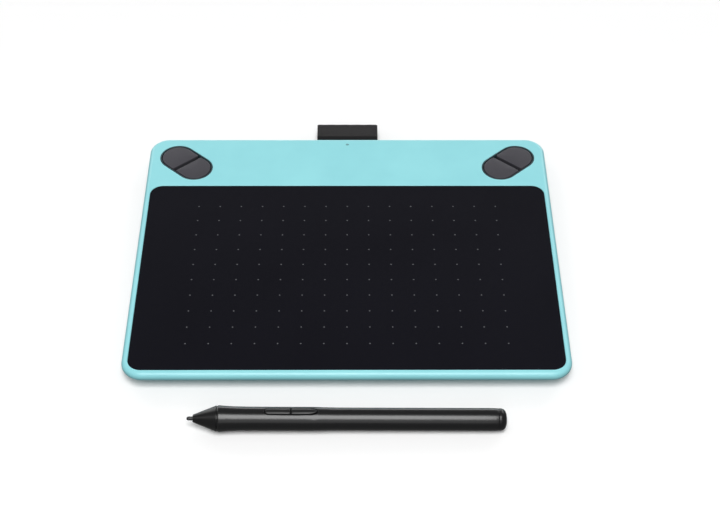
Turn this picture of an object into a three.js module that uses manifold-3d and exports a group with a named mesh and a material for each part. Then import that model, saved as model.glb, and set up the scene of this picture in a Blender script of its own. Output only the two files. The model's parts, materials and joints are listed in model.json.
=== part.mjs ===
// Pen drawing tablet with four express keys, a woven pen loop and its cordless pen lying in front.
// Millimetres, +Z up, +X to the user's right, +Y away from the user.
// The origin is the bottom centre of the whole outline, tablet and pen together.

import * as THREE from 'three';
import { mergeVertices } from 'three/addons/utils/BufferGeometryUtils.js';
import Module from 'manifold-3d';

const wasm = await Module();
wasm.setup();

// ---------------------------------------------------------------- driving dimensions

const fitGap = 0.3; // clearance between neighbouring pieces
const weld = 0.2; // how far joined solids reach into each other
const overshoot = 1; // how far a cutter reaches past the face it opens
const arcSteps = 5; // straight steps in each quarter turn
const postSteps = 12; // straight sides of a small round post or hole

// Tablet outline. Plan positions on the tablet are measured from the middle of its outline.
const tabletWidth = 210;
const tabletDepth = 171;
const tabletHeight = 10;
const cornerRadius = 10;
const edgeHeight = 5; // the rounded edge band of the upper shell
const edgeRound = 2.4;
const partingHeight = tabletHeight - edgeHeight;
const footProud = 0.8;
const undersideInset = 9;
const floorThickness = 1.5;
const floorTop = footProud + floorThickness;
const lowerWall = 4; // the upper shell's wall beside the lower shell's lip
const upperWall = 2;
const wallStep = 6; // height where one wall thickness changes to the other
const lipOuterInset = 4.3;
const lipInnerInset = 5.5;
const ribThickness = 1.2;
const ribHalfLength = 80;
const ribTop = 5.7;
const spineTop = 5.5;

// Drawing surface.
const surfaceWidth = 204.1;
const surfaceDepth = 129.2;
const surfaceCentreY = -17.65;
const surfaceRadius = 6.6;
const surfaceTop = 9.85;
const surfaceThickness = 0.6;
const recessFloor = surfaceTop - surfaceThickness - fitGap;
const deckUnderside = 7.75;
const deckRearEdge = 48.2;
const stripUnderside = 8.8;

// Key pods: two keys share one stadium-shaped opening in each rear corner.
const podX = 85;
const podY = 65.45;
const podAngle = THREE.MathUtils.degToRad(42.75);
const podLength = 12.7; // between the centres of the round ends
const podRadius = 9.52;
const bezelInnerRadius = 8.75;
const bezelFlangeRadius = 10.8;
const bezelBottom = 7.4;
const bezelTop = 9.95;
const keyRadius = 8.45;
const keySplitWidth = 0.9;
const keySplitTilt = THREE.MathUtils.degToRad(7.4);
const keySplitOffset = 0.5;
const keyTop = 10.15;
const keyEdgeBreak = 0.25;
const keyFlangeRadius = 9.5;
const keyFlangeBottom = 6.6;
const keyFlangeTop = 7.1;
const keyPlungerBottom = 6.35;
const keyPlungerX = 7.5;
const keyPlungerRadius = 1.5;
const switchHalfWidth = 2.3;
const switchDomeRadius = 1.4;
const switchBaseTop = 5.4;
const switchTop = 5.8;

// Boards inside the case.
const boardBottom = 3.7;
const boardTop = 4.5;
const boardOuterX = 97;
const boardInnerX = 67;
const boardFrontY = 43;
const boardRearY = 77;
const sensorBottom = 6.65;
const sensorTop = 7.45;
const sensorHalfWidth = 84;
const sensorFrontY = -72;
const sensorRearY = 48;
const lightTabRearY = 51; // a narrow tab of the sensor board carries the status light
const lightTabHalfWidth = 12;
const shieldBottom = 6.05;
const shieldTop = 6.35;
const shieldRearY = 40;
const linkCableWidth = 5.5;
const linkCableThickness = 0.3;
const sensorFlexThickness = 0.25;
const boardPostRadius = 1.6;

// Accessory bay under the rear strip, with its hinged cover.
const bayHalfWidth = 59;
const bayFrontY = 53.5;
const bayRearY = 75.3;
const bayWall = 1.2;
const bayRoofBottom = 6.7;
const bayRoofTop = 7.5;
const bayDividerX = 11;
const coverTop = 2;
const hingeTongueX = 30;
const hingeTongueWidth = 11;
const rackBottom = 4.4;
const rackFrontY = 57.5;
const rackRearY = 72.5;
const nibRackX = 16;
const nibRackY = [60, 63.6, 67.2];
const ringX = 46;
const ringY = 65;
const ringOuterRadius = 5;
const ringInnerRadius = 3.2;
const ringTop = 5.6;

// Pen loop.
const loopWidth = 32.5;
const loopCentreZ = 5.95;
const loopPly = 0.75;
const loopHeight = 6.2;
const loopRearY = 100.2;
const loopTailY = 77.8;
const anchorLug = 1.6; // how far the anchor stands out on either side of the strip

// Status light.
const lightY = 80.3;
const lightRadius = 0.65;

// USB inlet in the left edge.
const usbY = 55;
const usbBottom = 5.3;
const usbTop = 7.9;
const usbWidth = 7.6;
const usbMouthX = -104;
const usbBackX = -98.2;
const usbSheet = 0.3; // thickness of the inlet's shell

// Fastenings and feet.
const screwPlaces = [[-92, -72], [92, -72], [-63.4, 72], [63.4, 72]];
const screwNames = ['front_left', 'front_right', 'rear_left', 'rear_right'];
const screwHeadRadius = 1.9;
const screwHeadBottom = 1.1;
const screwHeadTop = 2.3;
const screwShankRadius = 0.8;
const screwShankTop = 6.6;
const screwSlotHalfLength = 1.1;
const screwSlotHalfWidth = 0.25;
const screwSlotDepth = 0.5;
const screwPilotRadius = 1.1;
const screwPostRadius = 2.6; // the upper shell's posts
const screwPostBottom = 4.6;
const screwBossRadius = 3.3; // the lower shell's bosses
const screwBossTop = 4.3;
const counterboreRadius = 2.2;
const counterboreTop = 2.6;
const footPlaces = [[-80, -66], [80, -66], [-80, 64], [80, 64]];
const footLength = 12; // between the centres of the round ends
const footRadius = 4;
const footRecess = 0.5;
const footThickness = 1;

// Pen. Lengths run along the pen from the tip of its nib.
const penLength = 144.8;
const penRingRadius = 6;
const penTailRadius = 5.12;
const penConeStart = 2.8;
const penConeEnd = 13.6;
const penRingX = 14.5;
const penBarrelEnd = 141.1;
const penBoreRadius = 4.2;
const penButtonsStart = 35.1;
const penButtonsEnd = 59.6;
const penButtonsSplit = 47.2;
const penButtonsWidth = 4.8;
const penButtonTopRadius = 5.65;
const penAxisY = -108.3;
const penMiddleX = 0;
const penButtonsFloor = 3; // how near the pen's axis the window reaches
const nibRadius = 0.9;
const nibLength = 17;
const nibHoleRadius = 1.35;

// Inside the pen, lengths again from the tip of the nib.
const collarRadius = 4.6; // the nose cone's collar, inside the barrel
const collarEnd = 18;
const holderStart = 11;
const holderEnd = 29;
const holderRadius = 1.9;
const coilStart = 19;
const coilEnd = 27;
const coilInnerRadius = 2.2;
const coilOuterRadius = 3.4;
const pressureSensorStart = 29.8;
const pressureSensorEnd = 34.2;
const chassisStart = 34.6;
const chassisEnd = 112;
const chassisRadius = 3.85;
const chassisTop = 0.8;
const penBoardTop = 1.8;
const penSwitchX = { front: 39, rear: 55.4 };

// The whole outline runs from the pen's widest ring to the back of the pen loop.
const outlineShiftY = -(penAxisY - penRingRadius + loopRearY) / 2;

// ---------------------------------------------------------------- materials

function finish(color, roughness, metalness = 0) {
  return new THREE.MeshStandardMaterial({ color, roughness, metalness });
}

const mintPlastic = finish(0x96dfe5, 0.42);
const surfaceSheet = finish(0x1a1b1f, 0.6);
const keyPlastic = finish(0x4b464b, 0.45);
const bezelPlastic = finish(0x2d3237, 0.4);
const wovenFabric = finish(0x333232, 0.9);
const rubber = finish(0x24272a, 0.85);
const circuitBoard = finish(0x1f5b3a, 0.5);
const chipPlastic = finish(0x17181a, 0.55);
const flatCable = finish(0xd9d2c0, 0.5);
const aluminium = finish(0xb8bcc0, 0.4, 0.9);
const steel = finish(0xa9abae, 0.35, 1);
const lightLens = finish(0xc9cdcd, 0.25);
const penPlastic = finish(0x2b2b2d, 0.45);
const conePlastic = finish(0x333335, 0.3);
const nibPlastic = finish(0x2a2a2c, 0.5);
const ferrite = finish(0x3a3634, 0.6);
const copper = finish(0xb06a3a, 0.35, 1);

// ---------------------------------------------------------------- solids from closed geometries

// A closed geometry as a solid that can be joined and cut.
function solid(geometry) {
  const bare = geometry.clone();
  bare.deleteAttribute('normal');
  bare.deleteAttribute('uv');
  const merged = mergeVertices(bare, 1e-4);
  const vertProperties = merged.attributes.position.array;
  const triVerts = new Uint32Array(merged.index.array);
  return new wasm.Manifold(new wasm.Mesh({ numProp: 3, vertProperties, triVerts }));
}

function geometryOf(body) {
  const { vertProperties, triVerts } = body.getMesh();
  const geometry = new THREE.BufferGeometry();
  geometry.setAttribute('position', new THREE.BufferAttribute(vertProperties, 3));
  geometry.setIndex(new THREE.BufferAttribute(triVerts, 1));
  const faceted = geometry.toNonIndexed();
  faceted.computeVertexNormals();
  return faceted;
}

function piece(name, body, material, parent) {
  const mesh = new THREE.Mesh(geometryOf(body), material);
  mesh.name = name;
  parent.add(mesh);
}

function union(first, ...others) {
  return others.reduce((whole, other) => whole.add(other), first);
}

function cut(body, ...cutters) {
  return cutters.reduce((rest, cutter) => rest.subtract(cutter), body);
}

function block([x0, x1], [y0, y1], [z0, z1]) {
  const box = new THREE.BoxGeometry(x1 - x0, y1 - y0, z1 - z0);
  return solid(box.translate((x0 + x1) / 2, (y0 + y1) / 2, (z0 + z1) / 2));
}

// An upright round post, or the cutter for its hole.
function post(x, y, radius, [z0, z1]) {
  const cylinder = new THREE.CylinderGeometry(radius, radius, z1 - z0, postSteps);
  return solid(cylinder.rotateX(Math.PI / 2).translate(x, y, (z0 + z1) / 2));
}

// A plan outline raised from z0 to z1; `chamfer` breaks both of its long edges.
function plate(shape, [z0, z1], chamfer = 0) {
  const geometry = new THREE.ExtrudeGeometry(shape, {
    depth: z1 - z0 - 2 * chamfer,
    bevelEnabled: chamfer > 0,
    bevelThickness: chamfer,
    bevelSize: chamfer,
    bevelOffset: -chamfer,
    bevelSegments: 1,
    curveSegments: arcSteps,
  });
  return solid(geometry.translate(0, 0, z0 + chamfer));
}

// An outline in the Y-Z plane drawn out along X, from x0 to x1.
function barAlongX(shape, [x0, x1]) {
  const geometry = new THREE.ExtrudeGeometry(shape, {
    depth: x1 - x0,
    bevelEnabled: false,
    curveSegments: arcSteps,
  });
  const turn = new THREE.Matrix4().makeBasis(
    new THREE.Vector3(0, 1, 0),
    new THREE.Vector3(0, 0, 1),
    new THREE.Vector3(1, 0, 0),
  );
  return solid(geometry.applyMatrix4(turn).translate(x0, 0, 0));
}

// An outline in the X-Z plane drawn out along Y, from y0 to y1.
function barAlongY(shape, [y0, y1]) {
  const geometry = new THREE.ExtrudeGeometry(shape, { depth: y1 - y0, bevelEnabled: false });
  return solid(geometry.rotateX(Math.PI / 2).translate(0, y1, 0));
}

// A profile of [position, radius] points turned about the X axis.
function turned(profile, steps = 4 * arcSteps) {
  const points = profile.map(([x, radius]) => new THREE.Vector2(radius, x));
  return solid(new THREE.LatheGeometry(points, steps).rotateZ(-Math.PI / 2));
}

// ---------------------------------------------------------------- outlines

function roundedRectangle(width, depth, radius, centreY = 0) {
  const x = width / 2 - radius;
  const y = depth / 2 - radius;
  const shape = new THREE.Shape();
  shape.absarc(x, centreY - y, radius, -Math.PI / 2, 0);
  shape.absarc(x, centreY + y, radius, 0, Math.PI / 2);
  shape.absarc(-x, centreY + y, radius, Math.PI / 2, Math.PI);
  shape.absarc(-x, centreY - y, radius, Math.PI, 1.5 * Math.PI);
  shape.closePath();
  return shape;
}

function stadium(length, radius) {
  const shape = new THREE.Shape();
  shape.absarc(length / 2, 0, radius, -Math.PI / 2, Math.PI / 2);
  shape.absarc(-length / 2, 0, radius, Math.PI / 2, 1.5 * Math.PI);
  shape.closePath();
  return shape;
}

function polygon(points) {
  return new THREE.Shape(points.map(([x, y]) => new THREE.Vector2(x, y)));
}

// The tablet's plan outline, drawn in by `inset` all round.
function tabletOutline(inset) {
  return roundedRectangle(
    tabletWidth - 2 * inset,
    tabletDepth - 2 * inset,
    Math.max(cornerRadius - inset, 1),
  );
}

function surfaceOutline(margin) {
  return roundedRectangle(
    surfaceWidth + 2 * margin,
    surfaceDepth + 2 * margin,
    surfaceRadius + margin,
    surfaceCentreY,
  );
}

// ---------------------------------------------------------------- tablet shells

// A cutter made in a pod's own axes and set down where that pod is.
function placedInPod(side, body) {
  const turn = podTurn(side);
  return body.rotate([0, 0, THREE.MathUtils.radToDeg(turn)]).translate([side * podX, podY, 0]);
}

// Each pod's own +X axis points to the front and the middle of the tablet.
function podTurn(side) {
  return side < 0 ? -podAngle : Math.PI + podAngle;
}

function usbOpening() {
  const margin = fitGap;
  const shape = roundedRectangle(usbWidth + 2 * margin, usbTop - usbBottom + 2 * margin, 0.8);
  const slot = barAlongX(shape, [-tabletWidth / 2 - 2, -tabletWidth / 2 + 6.5]);
  return slot.translate([0, usbY, (usbBottom + usbTop) / 2]);
}

function topCase() {
  const shell = new THREE.ExtrudeGeometry(tabletOutline(0), {
    depth: edgeHeight - 2 * edgeRound,
    bevelThickness: edgeRound,
    bevelSize: edgeRound,
    bevelOffset: -edgeRound,
    bevelSegments: 4,
    curveSegments: arcSteps,
  });
  let body = solid(shell.translate(0, 0, partingHeight + edgeRound));
  const rearStrip = block([-tabletWidth, tabletWidth], [deckRearEdge, tabletDepth], [0, 20]);
  body = cut(
    body,
    plate(tabletOutline(lowerWall), [partingHeight - overshoot, wallStep]),
    plate(tabletOutline(upperWall), [wallStep - weld, deckUnderside]),
    plate(tabletOutline(upperWall), [wallStep - weld, stripUnderside]).intersect(rearStrip),
    plate(surfaceOutline(fitGap / 2), [recessFloor, tabletHeight + overshoot]),
  );
  for (const side of [-1, 1]) {
    const heights = [stripUnderside - overshoot, tabletHeight + overshoot];
    const opening = plate(stadium(podLength, podRadius), heights);
    body = cut(body, placedInPod(side, opening));
  }
  for (const [x, y] of screwPlaces) {
    const ceiling = y < deckRearEdge ? deckUnderside : stripUnderside;
    body = union(body, post(x, y, screwPostRadius, [screwPostBottom, ceiling + weld]));
    body = cut(body, post(x, y, screwPilotRadius, [screwPostBottom - overshoot, screwShankTop + 0.4]));
  }
  const loopSlot = block(
    [-loopWidth / 2 - fitGap, loopWidth / 2 + fitGap],
    [loopTailY - fitGap, tabletDepth / 2 + overshoot],
    [partingHeight - overshoot, loopCentreZ + loopPly + fitGap],
  );
  const lightHeights = [stripUnderside - overshoot, tabletHeight + overshoot];
  const lightHole = post(0, lightY, lightRadius + fitGap, lightHeights);
  return cut(body, loopSlot, lightHole, usbOpening());
}

// The sloping tray below the edge band, cut level at `top`.
function slopingTray(inset, bottom, top, slopeInset) {
  const rise = partingHeight - bottom;
  const geometry = new THREE.ExtrudeGeometry(tabletOutline(inset), {
    depth: 1,
    bevelThickness: rise,
    bevelSize: slopeInset,
    bevelOffset: -slopeInset,
    bevelSegments: 1,
    curveSegments: arcSteps,
  });
  const tray = solid(geometry.translate(0, 0, partingHeight));
  return tray.intersect(block([-tabletWidth, tabletWidth], [-tabletDepth, tabletDepth], [0, top]));
}

function caseRibs() {
  const half = ribThickness / 2;
  const ribs = [-58, -28, 2, 32].map((y) =>
    block([-ribHalfLength, ribHalfLength], [y, y + ribThickness], [floorTop - weld, ribTop]),
  );
  const spines = [-60, 0, 60].map((x) =>
    block([x - half, x + half], [-68, 36], [floorTop - weld, spineTop]),
  );
  return union(...ribs, ...spines);
}

function bayShell() {
  const outer = block(
    [-bayHalfWidth - bayWall, bayHalfWidth + bayWall],
    [bayFrontY - bayWall, bayRearY + bayWall],
    [footProud + 0.1, bayRoofTop],
  );
  const inner = block(
    [-bayHalfWidth, bayHalfWidth],
    [bayFrontY, bayRearY],
    [0, bayRoofBottom],
  );
  const divider = block(
    [bayDividerX, bayDividerX + bayWall],
    [bayFrontY - weld, bayRearY + weld],
    [coverTop + fitGap, bayRoofBottom + weld],
  );
  const rack = block(
    [bayDividerX + bayWall - weld, bayHalfWidth + weld],
    [rackFrontY, rackRearY],
    [rackBottom, bayRoofBottom + weld],
  );
  let body = union(cut(outer, inner), divider, rack);
  for (const y of nibRackY) {
    const groove = block(
      [nibRackX - fitGap, nibRackX + nibLength + fitGap],
      [y - nibRadius - fitGap, y + nibRadius + fitGap],
      [rackBottom - overshoot, rackBottom + 2 * nibRadius + fitGap],
    );
    body = cut(body, groove);
  }
  const ringGroove = cut(
    post(ringX, ringY, ringOuterRadius + fitGap, [rackBottom - overshoot, ringTop + fitGap]),
    post(ringX, ringY, ringInnerRadius - fitGap, [rackBottom - 2 * overshoot, ringTop + overshoot]),
  );
  return cut(body, ringGroove);
}

function bottomCase() {
  const rimTop = partingHeight - fitGap;
  const slope = undersideInset - edgeRound;
  let body = cut(
    slopingTray(edgeRound, footProud, rimTop, slope),
    slopingTray(edgeRound + 1.7, floorTop, rimTop + overshoot, slope - 1.6),
  );
  const lip = cut(
    plate(tabletOutline(lipOuterInset), [rimTop - 0.9, partingHeight + 0.8]),
    plate(tabletOutline(lipInnerInset), [rimTop - 2 * overshoot, partingHeight + 2 * overshoot]),
  );
  const ledgeHalfWidth = loopWidth / 2 + anchorLug;
  const loopLedge = block(
    [-ledgeHalfWidth, ledgeHalfWidth],
    [loopTailY, 80],
    [floorTop, loopCentreZ - loopPly - fitGap],
  );
  body = union(body, lip, loopLedge, caseRibs(), bayShell());
  for (const side of [-1, 1]) {
    for (const [x, y] of [[boardInnerX + 3, 54], [boardOuterX - 6, 46], [boardInnerX + 3, 74]]) {
      body = union(body, post(side * x, y, boardPostRadius, [floorTop - weld, boardBottom - fitGap]));
    }
  }
  for (const [x, y] of screwPlaces) {
    body = union(body, post(x, y, screwBossRadius, [floorTop - weld, screwBossTop]));
    const counterbore = post(x, y, counterboreRadius, [0, counterboreTop]);
    const pilot = post(x, y, screwPilotRadius, [counterboreTop - weld, screwBossTop + overshoot]);
    body = cut(body, counterbore, pilot);
  }
  for (const [x, y] of footPlaces) {
    const recess = plate(stadium(footLength, footRadius + fitGap), [0, footProud + footRecess]);
    body = cut(body, recess.translate([x, y, 0]));
  }
  const openBay = block([-bayHalfWidth, bayHalfWidth], [bayFrontY, bayRearY], [0, coverTop + fitGap]);
  body = cut(body, openBay);
  for (const x of [-hingeTongueX, hingeTongueX]) {
    const half = hingeTongueWidth / 2 + fitGap;
    const ys = [bayFrontY - 3, bayFrontY + overshoot];
    body = cut(body, block([x - half, x + half], ys, [floorTop, 4.9]));
  }
  const loopNotch = block(
    [-loopWidth / 2 - 1, loopWidth / 2 + 1],
    [79.5, tabletDepth / 2],
    [loopCentreZ - loopPly - fitGap, wallStep + overshoot],
  );
  const usbNotch = block(
    [-tabletWidth / 2, -tabletWidth / 2 + 7],
    [usbY - usbWidth / 2 - fitGap, usbY + usbWidth / 2 + fitGap],
    [boardTop, wallStep + overshoot],
  );
  return cut(body, loopNotch, usbNotch);
}

function drawingSurface() {
  return plate(surfaceOutline(-fitGap / 2), [surfaceTop - surfaceThickness, surfaceTop]);
}

// ---------------------------------------------------------------- key pods

function keyBezel() {
  const collar = plate(stadium(podLength, podRadius - fitGap), [bezelBottom, bezelTop]);
  const flange = plate(stadium(podLength, bezelFlangeRadius), [bezelBottom, stripUnderside - fitGap]);
  const heights = [bezelBottom - overshoot, bezelTop + overshoot];
  return cut(union(collar, flange), plate(stadium(podLength, bezelInnerRadius), heights));
}

// One key of the pair; `end` is +1 for the inner key and -1 for the outer key.
function expressKey(side, end) {
  const cap = plate(stadium(podLength, keyRadius), [keyFlangeBottom, keyTop], keyEdgeBreak);
  const flange = plate(stadium(podLength, keyFlangeRadius), [keyFlangeBottom, keyFlangeTop]);
  const reach = 40;
  const half = block([keySplitWidth / 2, reach], [-reach, reach], [0, 12]);
  const turn = end > 0 ? 0 : 180;
  const tilt = side * THREE.MathUtils.radToDeg(keySplitTilt);
  const keepSide = half.rotate([0, 0, turn + tilt]).translate([keySplitOffset, 0, 0]);
  const plungerHeights = [keyPlungerBottom, keyFlangeBottom + weld];
  const plunger = post(end * keyPlungerX, 0, keyPlungerRadius, plungerHeights);
  return union(union(cap, flange).intersect(keepSide), plunger);
}

function domeSwitch(end) {
  const x = end * keyPlungerX;
  const base = block(
    [x - switchHalfWidth, x + switchHalfWidth],
    [-switchHalfWidth, switchHalfWidth],
    [boardTop + fitGap, switchBaseTop],
  );
  return union(base, post(x, 0, switchDomeRadius, [switchBaseTop - weld, switchTop]));
}

function addKeyPod(tablet, side) {
  const label = side < 0 ? 'left' : 'right';
  const pod = new THREE.Group();
  pod.position.set(side * podX, podY, 0);
  pod.rotation.z = podTurn(side);
  tablet.add(pod);
  piece(`key_bezel_${label}`, keyBezel(), bezelPlastic, pod);
  for (const end of [-1, 1]) {
    const place = end < 0 ? 'outer' : 'inner';
    piece(`express_key_${label}_${place}`, expressKey(side, end), keyPlastic, pod);
    piece(`dome_switch_${label}_${place}`, domeSwitch(end), aluminium, pod);
  }
}

// ---------------------------------------------------------------- electronics

function sideBoard(side) {
  const xs = [side * boardInnerX, side * boardOuterX].sort((a, b) => a - b);
  return block(xs, [boardFrontY, boardRearY], [boardBottom, boardTop]);
}

function flatRibbon(centreLine, thickness) {
  const lower = centreLine.map(([x, z]) => [x, z - thickness / 2]);
  const upper = centreLine.map(([x, z]) => [x, z + thickness / 2]);
  return polygon([...lower, ...upper.reverse()]);
}

function boardLinkCable() {
  const endX = boardInnerX - fitGap;
  const lowX = endX - 4;
  const highZ = boardTop - 0.4;
  const lowZ = floorTop + 0.45;
  const right = [[lowX, lowZ], [endX - 2, highZ], [endX, highZ]];
  const left = right.map(([x, z]) => [-x, z]).reverse();
  const ribbon = flatRibbon([...left, ...right], linkCableThickness);
  return barAlongY(ribbon, [boardFrontY, boardFrontY + linkCableWidth]);
}

function sensorFlex() {
  const strip = sensorFlexThickness;
  const foldY = 43.2;
  const endY = 47.4;
  const upperZ = sensorBottom - fitGap;
  const lowerZ = boardTop + fitGap;
  const shape = polygon([
    [foldY + 0.8, lowerZ],
    [endY, lowerZ],
    [endY, lowerZ + strip],
    [foldY + 1, lowerZ + strip],
    [foldY + 0.3, (lowerZ + upperZ) / 2],
    [foldY + 1, upperZ - strip],
    [endY, upperZ - strip],
    [endY, upperZ],
    [foldY + 0.8, upperZ],
    [foldY, (lowerZ + upperZ) / 2],
  ]);
  return barAlongX(shape, [-80, -70]);
}

function lightPipe() {
  const guide = block(
    [-0.8, 0.8],
    [lightTabRearY - fitGap, lightY + 0.8],
    [sensorTop + 0.35, stripUnderside - fitGap],
  );
  return union(guide, post(0, lightY, lightRadius, [sensorTop + 0.5, tabletHeight - 0.05]));
}

function addElectronics(tablet) {
  const controller = sideBoard(-1);
  piece('controller_board', controller, circuitBoard, tablet);
  piece('key_board_right', sideBoard(1), circuitBoard, tablet);
  const chipX = -71.5;
  const chip = block([chipX - 3.5, chipX + 3.5], [66, 73], [boardTop + fitGap, boardTop + 1.3]);
  piece('controller_chip', chip, chipPlastic, tablet);
  piece('board_link_cable', boardLinkCable(), flatCable, tablet);
  const sensor = block(
    [-sensorHalfWidth, sensorHalfWidth],
    [sensorFrontY, sensorRearY],
    [sensorBottom, sensorTop],
  );
  const lightTab = block(
    [-lightTabHalfWidth, lightTabHalfWidth],
    [sensorRearY - weld, lightTabRearY],
    [sensorBottom, sensorTop],
  );
  piece('sensor_board', union(sensor, lightTab), circuitBoard, tablet);
  const shield = block(
    [-sensorHalfWidth, sensorHalfWidth],
    [sensorFrontY, shieldRearY],
    [shieldBottom, shieldTop],
  );
  piece('shield_plate', shield, aluminium, tablet);
  piece('sensor_flex', sensorFlex(), flatCable, tablet);
  const led = block([-0.8, 0.8], [48.7, 50.4], [sensorTop + fitGap, stripUnderside - 0.4]);
  piece('status_led', led, lightLens, tablet);
  piece('led_light_pipe', lightPipe(), lightLens, tablet);
}

// ---------------------------------------------------------------- USB inlet

// The inlet's outline is wide at the top and narrower at the bottom.
function usbOutline(margin) {
  const half = usbWidth / 2 - margin;
  const height = (usbTop - usbBottom) / 2 - margin;
  return polygon([
    [-half + 1, -height],
    [half - 1, -height],
    [half, -height + 0.9],
    [half, height],
    [-half, height],
    [-half, -height + 0.9],
  ]);
}

function usbSocket() {
  const outer = barAlongX(usbOutline(0), [usbMouthX, usbBackX]);
  const inner = barAlongX(usbOutline(usbSheet), [usbMouthX - overshoot, usbBackX - usbSheet]);
  const middleZ = (usbBottom + usbTop) / 2;
  let body = cut(outer, inner).translate([0, usbY, middleZ]);
  for (const y of [usbY - 2.6, usbY + 2]) {
    for (const x of [-99.4, -101]) {
      const leg = block([x - 0.3, x + 0.3], [y, y + 0.6], [boardTop + fitGap, usbBottom + weld]);
      body = union(body, leg);
    }
  }
  return body;
}

function addUsbInlet(tablet) {
  piece('usb_socket', usbSocket(), steel, tablet);
  const tongue = block([-103.2, -98.8], [usbY - 2, usbY + 2], [6.7, 7.3]);
  piece('usb_tongue', tongue, chipPlastic, tablet);
}

// ---------------------------------------------------------------- pen loop

// The strip leaves the case as two plies, opens into a flat eye and folds back at the rear.
function penLoop() {
  const half = loopHeight / 2;
  const foldY = loopRearY - half;
  const neckY = 86.6;
  const openY = 91.4;
  const z = loopCentreZ;
  const outer = new THREE.Shape();
  outer.moveTo(loopTailY, z - loopPly);
  outer.lineTo(neckY, z - loopPly);
  outer.bezierCurveTo(neckY + 1.8, z - loopPly, openY - 2.4, z - half, openY, z - half);
  outer.absarc(foldY, z, half, -Math.PI / 2, Math.PI / 2);
  outer.lineTo(openY, z + half);
  outer.bezierCurveTo(openY - 2.4, z + half, neckY + 1.8, z + loopPly, neckY, z + loopPly);
  outer.lineTo(loopTailY, z + loopPly);
  outer.closePath();
  const innerHalf = half - loopPly;
  const eyeY = neckY + 0.9;
  const eye = new THREE.Path();
  eye.moveTo(eyeY, z);
  eye.bezierCurveTo(eyeY + 1.6, z - 0.4, openY - 1.8, z - innerHalf, openY + 0.1, z - innerHalf);
  eye.absarc(foldY, z, innerHalf, -Math.PI / 2, Math.PI / 2);
  eye.lineTo(openY + 0.1, z + innerHalf);
  eye.bezierCurveTo(openY - 1.8, z + innerHalf, eyeY + 1.6, z + 0.4, eyeY, z);
  outer.holes.push(eye);
  return barAlongX(outer, [-loopWidth / 2, loopWidth / 2]);
}

function loopAnchor() {
  const halfWidth = loopWidth / 2;
  const bottom = loopCentreZ + loopPly + 0.1;
  const lugEnd = halfWidth + anchorLug;
  const bar = block([-lugEnd, lugEnd], [loopTailY, 80.7], [bottom, 7.45]);
  const lugs = [-1, 1].map((side) => {
    const xs = [side * (halfWidth + fitGap), side * lugEnd].sort((a, b) => a - b);
    return block(xs, [loopTailY, 79.2], [loopCentreZ - loopPly, bottom + weld]);
  });
  return union(bar, ...lugs);
}

// ---------------------------------------------------------------- accessory bay

function accessoryCover() {
  const front = bayFrontY + fitGap;
  const rear = bayRearY - fitGap;
  const side = bayHalfWidth - fitGap;
  let body = block([-side, side], [front, rear], [footProud, coverTop]);
  for (const x of [-hingeTongueX, hingeTongueX]) {
    const xs = [x - hingeTongueWidth / 2, x + hingeTongueWidth / 2];
    const riser = block(xs, [front, front + 1.2], [coverTop - weld, 3.6]);
    const tongue = block(xs, [front - 2.5, front + 1.2], [floorTop + fitGap, 3.6]);
    body = union(body, riser, tongue);
  }
  const latch = block([-6, 6], [rear - 1.2, rear], [coverTop - weld, 3.9]);
  const grooveHeights = [footProud - overshoot, footProud + 0.5];
  const fingerGroove = block([-9, 9], [rear - 4, rear - 1.6], grooveHeights);
  return cut(union(body, latch), fingerGroove);
}

function nib() {
  return turned([
    [0, 0],
    [0.12, 0.4],
    [0.45, 0.72],
    [1.1, nibRadius],
    [nibLength, nibRadius],
    [nibLength, 0],
  ], postSteps);
}

function addAccessoryBay(tablet) {
  piece('accessory_cover', accessoryCover(), mintPlastic, tablet);
  nibRackY.forEach((y, index) => {
    const spare = nib().translate([nibRackX, y, rackBottom + nibRadius]);
    piece(`spare_nib_${index + 1}`, spare, nibPlastic, tablet);
  });
  const ring = cut(
    post(ringX, ringY, ringOuterRadius, [rackBottom, ringTop]),
    post(ringX, ringY, ringInnerRadius, [rackBottom - overshoot, ringTop + overshoot]),
  );
  piece('nib_removal_ring', ring, steel, tablet);
  const connector = block([-58.7, -56], [60, 68], [3, 6.4]);
  piece('battery_connector', connector, chipPlastic, tablet);
}

// ---------------------------------------------------------------- fastenings and feet

function caseScrew() {
  const head = post(0, 0, screwHeadRadius, [screwHeadBottom, screwHeadTop]);
  const shank = post(0, 0, screwShankRadius, [screwHeadTop - weld, screwShankTop]);
  const long = [-screwSlotHalfLength, screwSlotHalfLength];
  const narrow = [-screwSlotHalfWidth, screwSlotHalfWidth];
  const slotHeights = [0, screwHeadBottom + screwSlotDepth];
  const slotX = block(long, narrow, slotHeights);
  const slotY = block(narrow, long, slotHeights);
  return cut(union(head, shank), slotX, slotY);
}

function addFastenings(tablet) {
  screwNames.forEach((name, index) => {
    const [screwX, screwY] = screwPlaces[index];
    piece(`case_screw_${name}`, caseScrew().translate([screwX, screwY, 0]), steel, tablet);
    const [footX, footY] = footPlaces[index];
    const foot = plate(stadium(footLength, footRadius), [0, footThickness], 0.2);
    piece(`foot_${name}`, foot.translate([footX, footY, 0]), rubber, tablet);
  });
}

// ---------------------------------------------------------------- pen

function penNoseCone() {
  return turned([
    [penConeStart, nibHoleRadius],
    [penConeStart, 1.7],
    [penConeEnd, penRingRadius - 0.05],
    [penConeEnd, collarRadius],
    [collarEnd, collarRadius],
    [collarEnd, 3.7],
    [12, 3.7],
    [4.6, 1.8],
    [penConeStart, nibHoleRadius],
  ]);
}

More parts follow.
